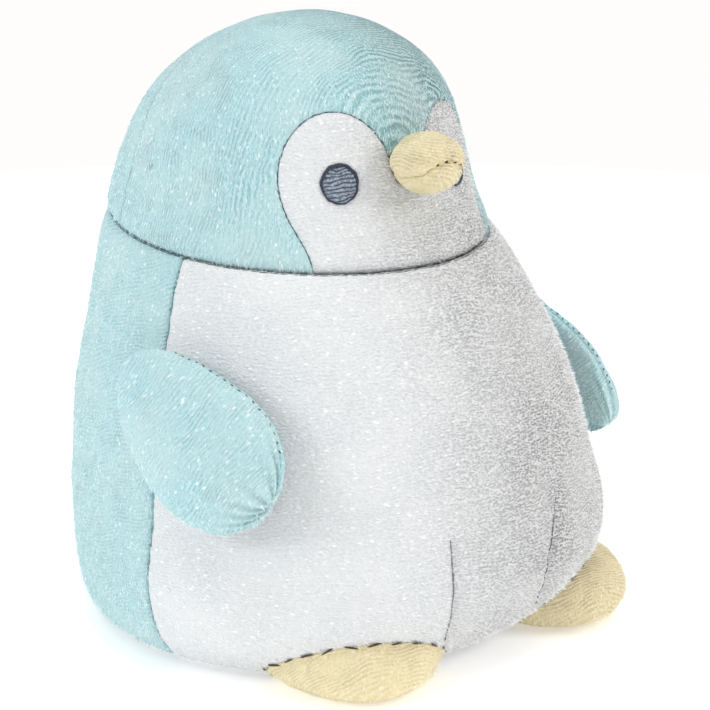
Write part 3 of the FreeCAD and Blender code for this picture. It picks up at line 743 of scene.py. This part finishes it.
def footCloth(word, params, seed, press=True):
    spec = feet[word]
    c = np.array([spec["side"], spec["forward"], spec["level"]])
    angle, tilt = params[:, 0], params[:, 1]
    flat = np.stack([feet["wide"] * np.cos(tilt) * np.cos(angle),
            feet["long"] * np.cos(tilt) * np.sin(angle), spec["tall"] * np.sin(tilt)], 1)
    normals = unit(flat / np.array([feet["wide"], feet["long"], spec["tall"]]) ** 2)
    flat[:, :2] *= (np.maximum(np.cos(tilt), 1e-6) ** (feet["full"] - 1))[:, None]      # fuller than an egg
    points = flat + c
    lift = 0.35 * lumps(points, 9, seed) + 0.2 * lumps(points, 4, seed + 5)
    lift -= roll(np.abs(points[:, 2] - feet["seam"]), 2.0, 0.8)
    points = points + normals * lift[:, None]
    low = feet["rest"]      # pressed flat where it rests
    points[:, 2] = np.where(points[:, 2] < low, low - 0.15 * np.clip((low - points[:, 2]) / 3, 0, 1),
            points[:, 2])
    return outOf(points, bodySection, feet["gap"]) if press else points


def buildFoot(word, seed):
    spec = feet[word]
    params, faces = grid(np.linspace(0, 2 * math.pi, 221), np.linspace(-math.pi / 2, math.pi / 2, 111))
    level = spec["level"] + spec["tall"] * np.sin(params[:, 1])
    whole = footCloth(word, params, seed, False)
    r, mid = bodySection(whole[:, 2])
    clear = np.hypot(whole[:, 0], whole[:, 1] - mid) - r + 0.4
    for part, sign, filling in (("upper", 1, ("foot_%s_stuffing" % word,)), ("sole", -1, ())):
        partParams, partFaces = clip(params, faces, np.minimum(sign * (level - feet["seam"]), clear))
        makePiece("foot_%s_%s_plush" % (word, part), footCloth(word, partParams, seed), partFaces,
                creamKnit, "cream_knit", body="foot_" + word,
                nodes=("foot_%s_%s" % (word, part),) + filling, wall=0.7)


buildFoot("right", 21)
buildFoot("left", 33)
stage("feet")


flippers = {
    # side, turn from the front in degrees and share of the neck height at the root and at the tip, lift off
    # the body in mm
    "right": (-1, (80.8, 0.724), (49.0, 0.499), (2.9, 7.1)),
    "left": (1, (92.3, 0.667), (71.3, 0.333), (2.4, 15.6)),
}
# halfWide, halfDeep: of the pad in mm; widest: share of the way to the tip; gap, settle, shift and hug: how
# it lies on the body
pad = {"halfWide": 18.0, "halfDeep": 5.5, "widest": 0.59, "gap": 0.9, "slim": 0.88, "settle": 1.6,
        "shift": 0.9, "hug": 2.8}


def flipperFrames(word):
    side, root, tip, lift = flippers[word]
    def onBody(turn, level):
        r, mid = bodySection(np.array([level]))
        return np.array([side * r[0] * math.sin(turn), mid[0] - r[0] * math.cos(turn), level])
    rows = []
    for share in np.linspace(0, 1, 41):
        turn = math.radians(root[0] + (tip[0] - root[0]) * share)
        level = (root[1] + (tip[1] - root[1]) * share) * form["neckLevel"]
        across = onBody(turn + 0.01, level) - onBody(turn - 0.01, level)
        along = onBody(turn, level + 6) - onBody(turn, level - 6)
        outward = unit(np.cross(across, along))
        if outward @ np.array([side * math.sin(turn), -math.cos(turn), 0]) < 0:
            outward = -outward
        swell = padSwell(np.array([share]))[0]
        off = max(lift[0] + (lift[1] - lift[0]) * share, pad["halfDeep"] * math.sqrt(swell) + pad["gap"])
        rows.append((onBody(turn, level) + outward * off, outward))
    centres = np.array([r[0] for r in rows])
    outs = np.array([r[1] for r in rows])
    runs = unit(np.gradient(centres, axis=0))
    sides = unit(np.cross(outs, runs))
    outs = np.cross(runs, sides)
    return centres, runs, sides, outs


def padSwell(share):
    w = pad["widest"]
    low = 1 - ((w - share) / (w + 0.06)) ** 2
    high = 1 - ((share - w) / (1 - w)) ** 2
    return np.sqrt(np.maximum(np.where(share < w, low, high), 0.0))


def flipperCloth(word, params, seed):
    # the flipper's cloth at (angle round the pad, share of the way from root to tip)
    centres, runs, sides, outs = flipperFrames(word)
    angle, t = params[:, 0], params[:, 1]
    share = 0.5 - 0.5 * np.cos(t * math.pi)          # closer rows at both ends
    share = -0.055 + 1.055 * share
    at = np.clip(share, 0, 1) * 40
    def along(rows):
        return np.stack([np.interp(at, np.arange(41), rows[:, k]) for k in range(3)], 1)
    centre, run, across, out = along(centres), unit(along(runs)), unit(along(sides)), unit(along(outs))
    length = np.linalg.norm(np.diff(centres, axis=0), axis=1).sum()
    back = np.minimum(share, 0) * length + pad["settle"] * (1 - np.clip(share, 0, 1))
    centre = centre + run * back[:, None]
    swell = padSwell(share) * (pad["slim"] + (1 - pad["slim"]) * np.clip(share, 0, 1))
    front = 1 if word == "right" else -1
    centre = centre + across * (front * pad["shift"] * (1 - np.clip(share, 0, 1)))[:, None]
    c, s = np.cos(angle), np.sin(angle)
    wide = pad["halfWide"] * swell
    # the rear edge lies close round the body
    centre = centre - out * (pad["hug"] * np.clip(-front * c, 0, 1) ** 2 * np.sqrt(swell))[:, None]
    deep = pad["halfDeep"] * np.sqrt(swell)
    points = centre + across * (wide * c)[:, None] + out * (deep * np.sign(s) * np.abs(s) ** 0.9)[:, None]
    toSide, toFace = c / np.maximum(wide, 0.5), s / np.maximum(deep, 0.5)
    normals = unit(across * toSide[:, None] + out * toFace[:, None])
    rim = wide * (1 - np.abs(c)) + deep * np.abs(s) * 0.6
    lift = 0.3 * lumps(points, 9, seed) + 0.15 * lumps(points, 4, seed + 3)
    lift += 0.35 * np.exp(-rim / 2.5) * lumps(points, 2.6, seed + 9)
    tipNear = np.clip((share - 0.76) / 0.24, 0, 1)
    lift += 0.8 * tipNear * np.sin(angle * 17 + 2 * np.sin(angle * 3)) * (share < 0.999)
    lift -= roll(rim, 1.4, 0.7)
    return outOf(points + normals * lift[:, None], bodySection, 0.4)


def buildFlipper(word, seed):
    for part, low, filling in (("outer", 0.0, ("flipper_%s_stuffing" % word,)), ("inner", math.pi, ())):
        params, faces = grid(np.linspace(low, low + math.pi, 101), np.linspace(0, 1, 121))
        makePiece("flipper_%s_%s_plush" % (word, part), flipperCloth(word, params, seed), faces,
                flipperKnit, "aqua_knit", body="flipper_" + word,
                nodes=("flipper_%s_%s" % (word, part),) + filling)


buildFlipper("right", 41)
buildFlipper("left", 57)
stage("flippers")


def applyTree(piece, tree, values):
    # runs a node tree on the piece and returns the result as a plain mesh
    modifier = piece.modifiers.new(tree.name, "NODES")
    modifier.node_group = tree
    for item in tree.interface.items_tree:
        if item.item_type == "SOCKET" and item.in_out == "INPUT" and item.name in values:
            modifier[item.identifier] = values[item.name]
    shown = piece.evaluated_get(bpy.context.evaluated_depsgraph_get())
    mesh = bpy.data.meshes.new_from_object(shown, depsgraph=bpy.context.evaluated_depsgraph_get())
    piece.modifiers.remove(modifier)
    return mesh


def newTree(name, inputs):
    # an empty tree with its named inputs
    tree = bpy.data.node_groups.new(name, "GeometryNodeTree")
    tree.interface.new_socket("Geometry", in_out="INPUT", socket_type="NodeSocketGeometry")
    tree.interface.new_socket("Geometry", in_out="OUTPUT", socket_type="NodeSocketGeometry")
    for label, kind, value in inputs + (("Seed", "Int", 1), ("Material", "Material", None)):
        socket = tree.interface.new_socket(label, in_out="INPUT", socket_type="NodeSocket" + kind)
        if value is not None:
            socket.default_value = value
    return tree, add(tree, "NodeGroupInput").outputs


def shaken(tree, given, amount):
    jitter = add(tree, "FunctionNodeRandomValue", {0: (-1, -1, -1), 1: (1, 1, 1), "Seed": given["Seed"]},
            data_type="FLOAT_VECTOR")
    return vectorCalc(tree, "SCALE", jitter, given[amount])


def strew(tree, given, places, shape, aim, smallest, largest, smooth=False):
    # a turned and sized copy of the shape on each point, made real
    turned = add(tree, "FunctionNodeAlignRotationToVector", {"Vector": aim}, axis="Z")
    sizes = add(tree, "ShaderNodeCombineXYZ", {"X": given["Thickness"], "Y": given["Thickness"],
            "Z": given["Length"]})
    grown = add(tree, "FunctionNodeRandomValue", {2: smallest, 3: largest, "Seed": given["Seed"]},
            data_type="FLOAT")
    scaled = vectorCalc(tree, "SCALE", sizes, grown.outputs[1])
    copies = add(tree, "GeometryNodeInstanceOnPoints",
            {"Points": places.outputs["Points"], "Instance": shape.outputs["Mesh"], "Rotation": turned,
            "Scale": scaled})
    real = add(tree, "GeometryNodeRealizeInstances", {"Geometry": copies})
    if smooth:
        real = add(tree, "GeometryNodeSetShadeSmooth", {"Geometry": real})
    painted = add(tree, "GeometryNodeSetMaterial", {"Geometry": real, "Material": given["Material"]})
    add(tree, "NodeGroupOutput", {"Geometry": painted})
    return tree


def stitchTree():
    # a row of short rounded stitches along a path
    tree, given = newTree("stitch row", (("Pitch", "Float", 0.002), ("Length", "Float", 0.0016),
            ("Thickness", "Float", 0.0004), ("Unevenness", "Float", 0.1)))
    places = add(tree, "GeometryNodeCurveToPoints", {"Curve": given["Geometry"], "Length": given["Pitch"]},
            mode="LENGTH")
    bead = add(tree, "GeometryNodeMeshUVSphere", {"Segments": 8, "Rings": 6, "Radius": 0.5})
    aim = vectorCalc(tree, "ADD", places.outputs["Tangent"], shaken(tree, given, "Unevenness"))
    return strew(tree, given, places, bead, aim, 0.8, 1.2, smooth=True)


stitches = stitchTree()


stitchLook = {
    # thread, pitch, length and thickness in mm, how unevenly they lie, slot
    "panel": (aquaThread, 2.1, 1.9, 0.42, 0.1, "aqua_thread"),
    "seat": (greyThread, 2.3, 2.0, 0.42, 0.1, "white_thread"),
    # neck: close, dark stitches, partly a painted shadow line under the head
    "neck": (neckThreadAndShadow, 2.4, 2.3, 0.34, 0.1, "aqua_thread"),
    "dart": (greyThread, 1.25, 1.5, 0.34, 0.1, "white_thread"),
    "face": (tealThread, 1.5, 1.6, 0.30, 0.05, "aqua_thread"),
    "headRear": (aquaThread, 2.1, 1.9, 0.36, 0.1, "aqua_thread"),
    "beakRoot": (creamThread, 1.9, 1.5, 0.4, 0.1, "cream_thread"),
    "mouth": (brownThread, 2.9, 1.1, 0.62, 0.3, "cream_thread"),
    "foot": (brownThread, 5.6, 3.7, 0.50, 0.28, "brown_thread"),
    "flipperRoot": (tealThread, 1.9, 1.8, 0.38, 0.1, "aqua_thread"),
    "flipperRim": (tealThread, 2.1, 0.8, 0.38, 0.4, "aqua_thread"),
    "caughtPile": (aquaThread, 6.0, 1.4, 0.16, 0.1, "aqua_knit"),
}


def stitchRow(name, paths, look, nodes, body="torso", seed=1):
    thread, pitch, length, thickness, uneven, slotName = stitchLook[look]
    line = bpy.data.curves.new(name + "_path", "CURVE")
    line.dimensions = "3D"
    for path in paths:
        spline = line.splines.new("POLY")
        spline.points.add(len(path) - 1)
        flat = np.concatenate([np.asarray(path) * mm, np.ones((len(path), 1))], 1)
        spline.points.foreach_set("co", flat.ravel())
    holder = bpy.data.objects.new(name + "_path", line)
    scene.collection.objects.link(holder)
    bpy.context.view_layer.update()
    mesh = applyTree(holder, stitches, {"Pitch": pitch * mm, "Length": length * mm,
            "Thickness": thickness * mm, "Unevenness": uneven, "Seed": seed, "Material": thread})
    bpy.data.objects.remove(holder)
    settle(name, mesh, body, nodes, slotName)


def bodySeam(theta, share, lift):
    # points along a line on the body's cloth, raised by lift mm
    points, normals = bodyCloth(np.stack([theta, share], 1), bodySeed)
    return points + normals * lift


def solveTheta(start, end, share, field):
    # theta between start and end where the field is zero, at each share
    low, high = np.full_like(share, start), np.full_like(share, end)
    def at(theta):
        return field(bodyPoint(theta, 1.0 + (neckAt(theta) - 1.0) * share))
    rising = at(high) > at(low)
    for _ in range(30):
        mid = (low + high) / 2
        up = (at(mid) > 0) == rising
        high = np.where(up, mid, high)
        low = np.where(up, low, mid)
    return (low + high) / 2


def seams():
    share = np.linspace(0.01, 0.985, 160)
    for word, start in (("right", math.pi), ("left", math.pi * 2)):
        theta = solveTheta(start, math.pi * 1.5, share, sideField)
        stitchRow("side_seam_%s_stitches" % word, [bodySeam(theta, share, -0.1)], "panel",
                ("side_seam_%s_thread" % word,))
    stitchRow("back_seam_stitches", [bodySeam(np.full_like(share, math.pi / 2), share, -0.1)], "panel",
            ("back_seam_thread",))
    around = np.linspace(0, 2 * math.pi, 300)
    stitchRow("seat_seam_stitches", [bodySeam(around, np.full_like(around, 0.004), -0.15)], "seat",
            ("seat_seam_thread",))
    stitchRow("neck_seam_stitches", [bodySeam(around, np.full_like(around, 0.996), -0.2)], "neck",
            ("neck_seam_thread",))
    for word, path in darts.items():
        path = np.asarray(path, float)
        parts = [a + (b - a) * np.linspace(0, 1, 12, endpoint=False)[:, None] for a,
                b in zip(path[:-1], path[1:])]
        fine = np.concatenate(parts + [path[-1:]])
        low = np.arctan2(fine[:, 1] - bodySection(fine[:, 2])[1], fine[:, 0])
        theta = np.where(low < math.pi / 2, low + 2 * math.pi, low)
        share = (fine[:, 2] - 1.0) / (neckAt(theta) - 1.0)
        stitchRow("dart_%s_stitches" % word, [bodySeam(theta, share, 0.15)], "dart",
                ("dart_%s_thread" % word,))


seams()


def heartLine(side):
    # one side of the face seam: rays from inside the lobe to the heart's edge, without what the beak covers
    start, reach = np.array([side * 15.0, 116.0]), np.linspace(4, 34, 300)
    beakSize = (beak["wide"] + 0.3, beak["deep"] + 1.5, beak["tall"] + 0.3)
    line = []
    for angle in np.linspace(-0.5 * math.pi, 1.5 * math.pi, 400):
        spots = start + reach[:, None] * np.array([math.cos(angle), math.sin(angle)])
        r, mid = headSection(spots[:, 1])
        depth = mid - np.sqrt(np.maximum(r ** 2 - spots[:, 0] ** 2, 0))
        flat = np.stack([spots[:, 0], depth, spots[:, 1]], 1)
        value = faceField(flat)
        hit = np.argmax(value > 0)
        if value[hit] <= 0:
            continue
        point = flat[hit]
        shows = np.linalg.norm((point - np.array(beak["centre"])) / beakSize) >= 1
        if shows and point[0] * side >= 0.2 and point[2] >= neckHeight(point[1]) + 1.2:
            line.append(point)
    return np.array(line)


def headSeams():
    paths = []
    for line in (heartLine(-1), heartLine(1)):
        gaps = np.nonzero(np.linalg.norm(np.diff(line, axis=0), axis=1) > 2.5)[0]
        paths += [onHead(part, -0.05) for part in np.split(line, gaps + 1) if len(part) > 6]
    stitchRow("face_seam_stitches", paths, "face", ("face_seam_thread",))
    angle = np.linspace(0, math.pi, 200)
    z = 109.0 + (159.0 - 109.0) * np.sin(angle)
    r, mid = headSection(z)
    x = np.sign(np.cos(angle)) * np.sqrt(np.maximum(r ** 2 - (rearLine - mid) ** 2, 0))
    flat = np.stack([x, np.full_like(x, rearLine), z], 1)[r ** 2 > (rearLine - mid) ** 2]
    flat = flat[flat[:, 2] > neckHeight(rearLine) + 1.0]
    stitchRow("head_seam_stitches", [onHead(flat, -0.1)], "headRear", ("head_seam_thread",))
    angle = np.linspace(0, 2 * math.pi, 120)
    wide, tall = beak["wide"] * 0.55, beak["tall"] * 0.6
    ring = np.stack([wide * np.cos(angle), np.full_like(angle, -48.0),
            beak["centre"][2] + tall * np.sin(angle)], 1)
    stitchRow("beak_root_stitches", [onHead(ring, 0.15)], "beakRoot", ("beak_root_thread",))
    params, _ = grid(np.linspace(0, 2 * math.pi, 721), np.linspace(0.02, 0.62, 121))
    cloth, toMouth = beakCloth(params, 0.0)
    line = []
    for x in np.linspace(-7.5, 7.5, 60):
        near = (np.abs(cloth[:, 0] - x) < 0.25) & (np.abs(toMouth) < 0.25)
        if near.any():
            spot = cloth[near].mean(0)
            line.append(spot + unit(spot - np.array(beak["centre"])) * 1.8)
    stitchRow("beak_mouth_stitches", [np.array(line)], "mouth", ("beak_mouth_thread",), seed=4)


headSeams()
stage("seam stitches")


def footStitches(word, seed):
    # hand stitches where the foot meets the belly: the line on the body's surface that the foot passes
    # through
    spec = feet[word]
    c = np.array([spec["side"], spec["forward"], spec["level"]])
    size = np.array([feet["wide"], feet["long"], spec["tall"]]) + 0.8
    theta, z = np.meshgrid(np.linspace(-math.pi, 0, 500), np.linspace(2.0, 22.0, 160))
    points = bodyPoint(theta.ravel(), z.ravel()).reshape(160, 500, 3)
    share = (points - c) / size
    inside = np.hypot(share[..., 0], share[..., 1]) ** (2 / feet["full"]) + share[..., 2] ** 2 < 1
    line = []
    for column in range(500):
        rows = np.nonzero(inside[:, column])[0]
        if len(rows) and rows.max() < 159:
            line.append(points[rows.max(), column])
    line = np.array(line)
    smooth = line[line[:, 2] > 3.0]
    for _ in range(6):
        smooth[1:-1] = (smooth[:-2] + smooth[1:-1] * 2 + smooth[2:]) / 4
    mid = bodySection(smooth[:, 2])[1]
    out = unit(smooth * (1, 1, 0) - np.stack([np.zeros(len(smooth)), mid, np.zeros(len(smooth))], 1))
    stitchRow("foot_%s_hand_stitches" % word, [smooth + out * 0.5], "foot", ("foot_%s_stitches" % word,),
            seed=seed)


footStitches("right", 5)
footStitches("left", 6)


def flipperRoot(word, seed):
    # gathers the root onto the body: a row close round the root end of the pad
    front = 0.0 if word == "right" else math.pi
    flat = flipperCloth(word, np.stack([np.full(14, math.pi - front), np.linspace(0.16, 0.01, 14)], 1),
            seed)
    r, mid = bodySection(flat[:, 2])
    theta = np.arctan2(flat[:, 1] - mid, flat[:, 0])
    theta = np.where(theta < math.pi / 2, theta + 2 * math.pi, theta)
    share = (flat[:, 2] - 1.2 - 1.0) / (neckAt(theta) - 1.0)
    stitchRow("flipper_%s_root_sewing" % word, [bodySeam(theta, share, 0.3)], "flipperRoot",
            ("flipper_%s_root_stitches" % word,), seed=seed)


def seamFibres(word, start, end, seed):
    # pile of the side panel caught across the side seam
    rng = np.random.default_rng(seed)
    share = np.sort(rng.uniform(0.02, 0.975, 210))
    theta = solveTheta(start, end, share, sideField)
    back = -1 if end < start else 1
    ends = bodySeam(theta + back * 0.020 * rng.uniform(0.6, 1.2, 210),
            share + rng.uniform(-0.004, 0.002, 210), 0.15)
    starts = bodySeam(theta + back * 0.002, share, 0.1)
    stitchRow("side_seam_%s_fibres" % word, list(np.stack([starts, ends], 1)), "caughtPile",
            ("side_seam_%s_thread" % word,), seed=seed)


seamFibres("right", math.pi, math.pi * 1.5, 31)
seamFibres("left", math.pi * 2, math.pi * 1.5, 32)


def flipperRim(word, seed):
    # small hand stitches that close the front edge of the flipper
    share = np.linspace(0.30, 0.80, 60)
    def along(angle):
        return flipperCloth(word, np.stack([np.full(60, angle), share], 1), seed)
    points = along(0.12 if word == "right" else math.pi - 0.12)
    out = unit(points - (along(math.pi / 2) * 0.5 + along(math.pi * 1.5) * 0.5))
    stitchRow("flipper_%s_rim_stitches" % word, [points + out * 0.10], "flipperRim", (),
            body="flipper_" + word, seed=seed)


flipperRim("right", 41)
flipperRim("left", 57)
flipperRoot("right", 7)
flipperRoot("left", 8)
stage("hand stitches")


def pileTree():
    # short fibre ends scattered over the cloth, lying along the nap
    tree, given = newTree("pile", (("Density", "Float", 1e6), ("Length", "Float", 0.0009),
            ("Thickness", "Float", 0.0002), ("Nap", "Vector", (0, 0, -1)), ("Rise", "Float", 0.5),
            ("Scatter", "Float", 0.5)))
    places = add(tree, "GeometryNodeDistributePointsOnFaces",
            {"Mesh": given["Geometry"], "Density": given["Density"], "Seed": given["Seed"]})
    blade = add(tree, "GeometryNodeMeshCone", {"Vertices": 3, "Radius Top": 0.12, "Radius Bottom": 0.5,
            "Depth": 1.0}, fill_type="NONE")
    up = vectorCalc(tree, "SCALE", places.outputs["Normal"], given["Rise"])
    lean = vectorCalc(tree, "ADD", up, given["Nap"])
    aim = vectorCalc(tree, "ADD", lean, shaken(tree, given, "Scatter"))
    return strew(tree, given, places, blade, aim, 0.6, 1.4)


pile = pileTree()
pileLook = {
    # piece: fibre material, nap direction, ends per square mm, length and thickness in mm
    "belly_plush": (whiteFibre, (0.5, 0, -0.2), 0.9, 0.95, 0.20, "white_plush"),
    "face_plush": (whiteFibre, (0.5, 0, -0.2), 0.9, 0.8, 0.18, "white_plush"),
    "back_left_plush": (aquaFibre, (0, 0, -1.0), 0.8, 0.95, 0.20, "aqua_knit"),
    "back_right_plush": (aquaFibre, (0, 0, -1.0), 0.8, 0.95, 0.20, "aqua_knit"),
    "crown_plush": (aquaFibre, (0, 0, -0.9), 0.9, 0.95, 0.20, "aqua_knit"),
    "head_rear_plush": (aquaFibre, (0, 0, -0.9), 0.8, 0.95, 0.20, "aqua_knit"),
    "flipper_right_outer_plush": (aquaFibre, (0.3, -0.2, -0.8), 0.9, 0.9, 0.19, "aqua_knit"),
    "flipper_right_inner_plush": (aquaFibre, (0.3, -0.2, -0.8), 0.6, 0.9, 0.19, "aqua_knit"),
    "flipper_left_outer_plush": (aquaFibre, (0.3, -0.2, -0.8), 0.9, 0.9, 0.19, "aqua_knit"),
    "flipper_left_inner_plush": (aquaFibre, (0.3, -0.2, -0.8), 0.6, 0.9, 0.19, "aqua_knit"),
    "foot_right_upper_plush": (creamFibre, (0, -0.5, -0.5), 0.8, 0.7, 0.18, "cream_knit"),
    "foot_left_upper_plush": (creamFibre, (0, -0.5, -0.5), 0.8, 0.7, 0.18, "cream_knit"),
    "beak_upper_plush": (creamFibre, (0.3, -0.3, -0.5), 1.2, 0.6, 0.16, "cream_knit"),
    "beak_lower_plush": (creamFibre, (0.3, -0.3, -0.5), 1.2, 0.6, 0.16, "cream_knit"),
}


def growPile():
    total = 0
    for seed, (name, (material, nap, perArea, length, thickness, slotName)) in enumerate(pileLook.items(),
            start=11):
        source = bpy.data.objects[name]
        skin = bpy.data.objects.new(name + "_skin", source.data)
        scene.collection.objects.link(skin)
        bpy.context.view_layer.update()
        mesh = applyTree(skin, pile, {"Density": perArea * 1e6, "Length": length * mm,
                "Thickness": thickness * mm, "Nap": nap, "Rise": 0.28, "Scatter": 0.35, "Seed": seed,
                "Material": material})
        bpy.data.objects.remove(skin)
        settle(name.replace("plush", "pile"), mesh, source["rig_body"], (), slotName)
        total += len(mesh.polygons)
    stage("pile: %d faces" % total)


growPile()


view = {"lens": 76.81, "azimuth": -40.09, "elevation": 17.0, "centre": 0.080, "rightBy": 0.01555,
        "downBy": 0.01411, "away": 0.420}
camera = bpy.data.cameras.new("camera")
camera.lens = view["lens"]
camera.sensor_width = 36.0
eyePoint = bpy.data.objects.new("camera", camera)
scene.collection.objects.link(eyePoint)
azimuth, elevation = math.radians(view["azimuth"]), math.radians(view["elevation"])
backward = Vector((math.sin(azimuth) * math.cos(elevation), -math.cos(azimuth) * math.cos(elevation),
        math.sin(elevation)))
rightward = Vector((math.cos(azimuth), math.sin(azimuth), 0.0))
upward = backward.cross(rightward)
aimed = Vector((0, 0, view["centre"])) + rightward * view["rightBy"] - upward * view["downBy"]
eyePoint.location = aimed + backward * view["away"]
eyePoint.rotation_euler = backward.to_track_quat("Z", "Y").to_euler()
scene.camera = eyePoint
scene.view_settings.view_transform = "Standard"

world = bpy.data.worlds.new("soft studio")
world.use_nodes = True
sky = world.node_tree
aim = add(sky, "ShaderNodeTexCoord").outputs["Generated"]
height = add(sky, "ShaderNodeSeparateXYZ", {0: aim})
dim = remap(sky, height.outputs["Z"], -0.02, 0.10, 1.0, 0.40)
sky.links.new(dim.outputs[0], sky.nodes["Background"].inputs[1])
sky.nodes["Background"].inputs[0].default_value = (1.0, 0.985, 0.972, 1.0)
scene.world = world


def softbox(name, direction, distance, size, power, warmth=(1, 1, 1)):
    light = bpy.data.lights.new(name, "AREA")
    light.shape = "SQUARE"
    light.size = size
    light.energy = power
    light.color = warmth
    lamp = bpy.data.objects.new(name, light)
    scene.collection.objects.link(lamp)
    lamp.location = Vector((0, 0, 0.07)) + direction.normalized() * distance
    lamp.rotation_euler = direction.to_track_quat("Z", "Y").to_euler()
    return lamp


softbox("key softbox", backward * 0.62 - rightward * 0.80 + upward * 0.34, 1.2, 0.5, 5.3,
        (0.94, 0.985, 1.0))
softbox("top softbox", Vector((0.15, 0.0, 1.0)), 1.5, 2.0, 16.0)
softbox("fill softbox", rightward * 1.0 + backward * 0.45 + upward * 0.45, 1.2, 0.5, 5.2,
        (1.0, 0.975, 0.95))


def studioFloor():
    floorMesh = bpy.data.meshes.new("studio_floor")
    reach, corners = 0.7, 96
    turns = np.linspace(0, 2 * math.pi, corners, endpoint=False)
    rim = [(reach * math.cos(a), reach * math.sin(a), -0.0003) for a in turns]
    floorMesh.from_pydata(rim, [], [tuple(range(corners))])
    material, tree, where = newMaterial("matt white board")
    grain = add(tree, "ShaderNodeTexNoise", {"Scale": 900.0, "Vector": where})
    bump = add(tree, "ShaderNodeBump", {"Strength": 0.05, "Distance": 0.0001, "Height": grain})
    # a softly lit board
    shader = add(tree, "ShaderNodeBsdfPrincipled", {"Base Color": colour("FAFAFA"), "Roughness": 0.9,
            "Specular IOR Level": 0.1, "Emission Color": (1.0, 1.0, 1.0, 1.0), "Emission Strength": 0.30,
            "Normal": bump})
    add(tree, "ShaderNodeOutputMaterial", {"Surface": shader})
    floorMesh.materials.append(material)
    floor = bpy.data.objects.new("studio_floor", floorMesh)
    scene.collection.objects.link(floor)


studioFloor()
stage("camera and light")
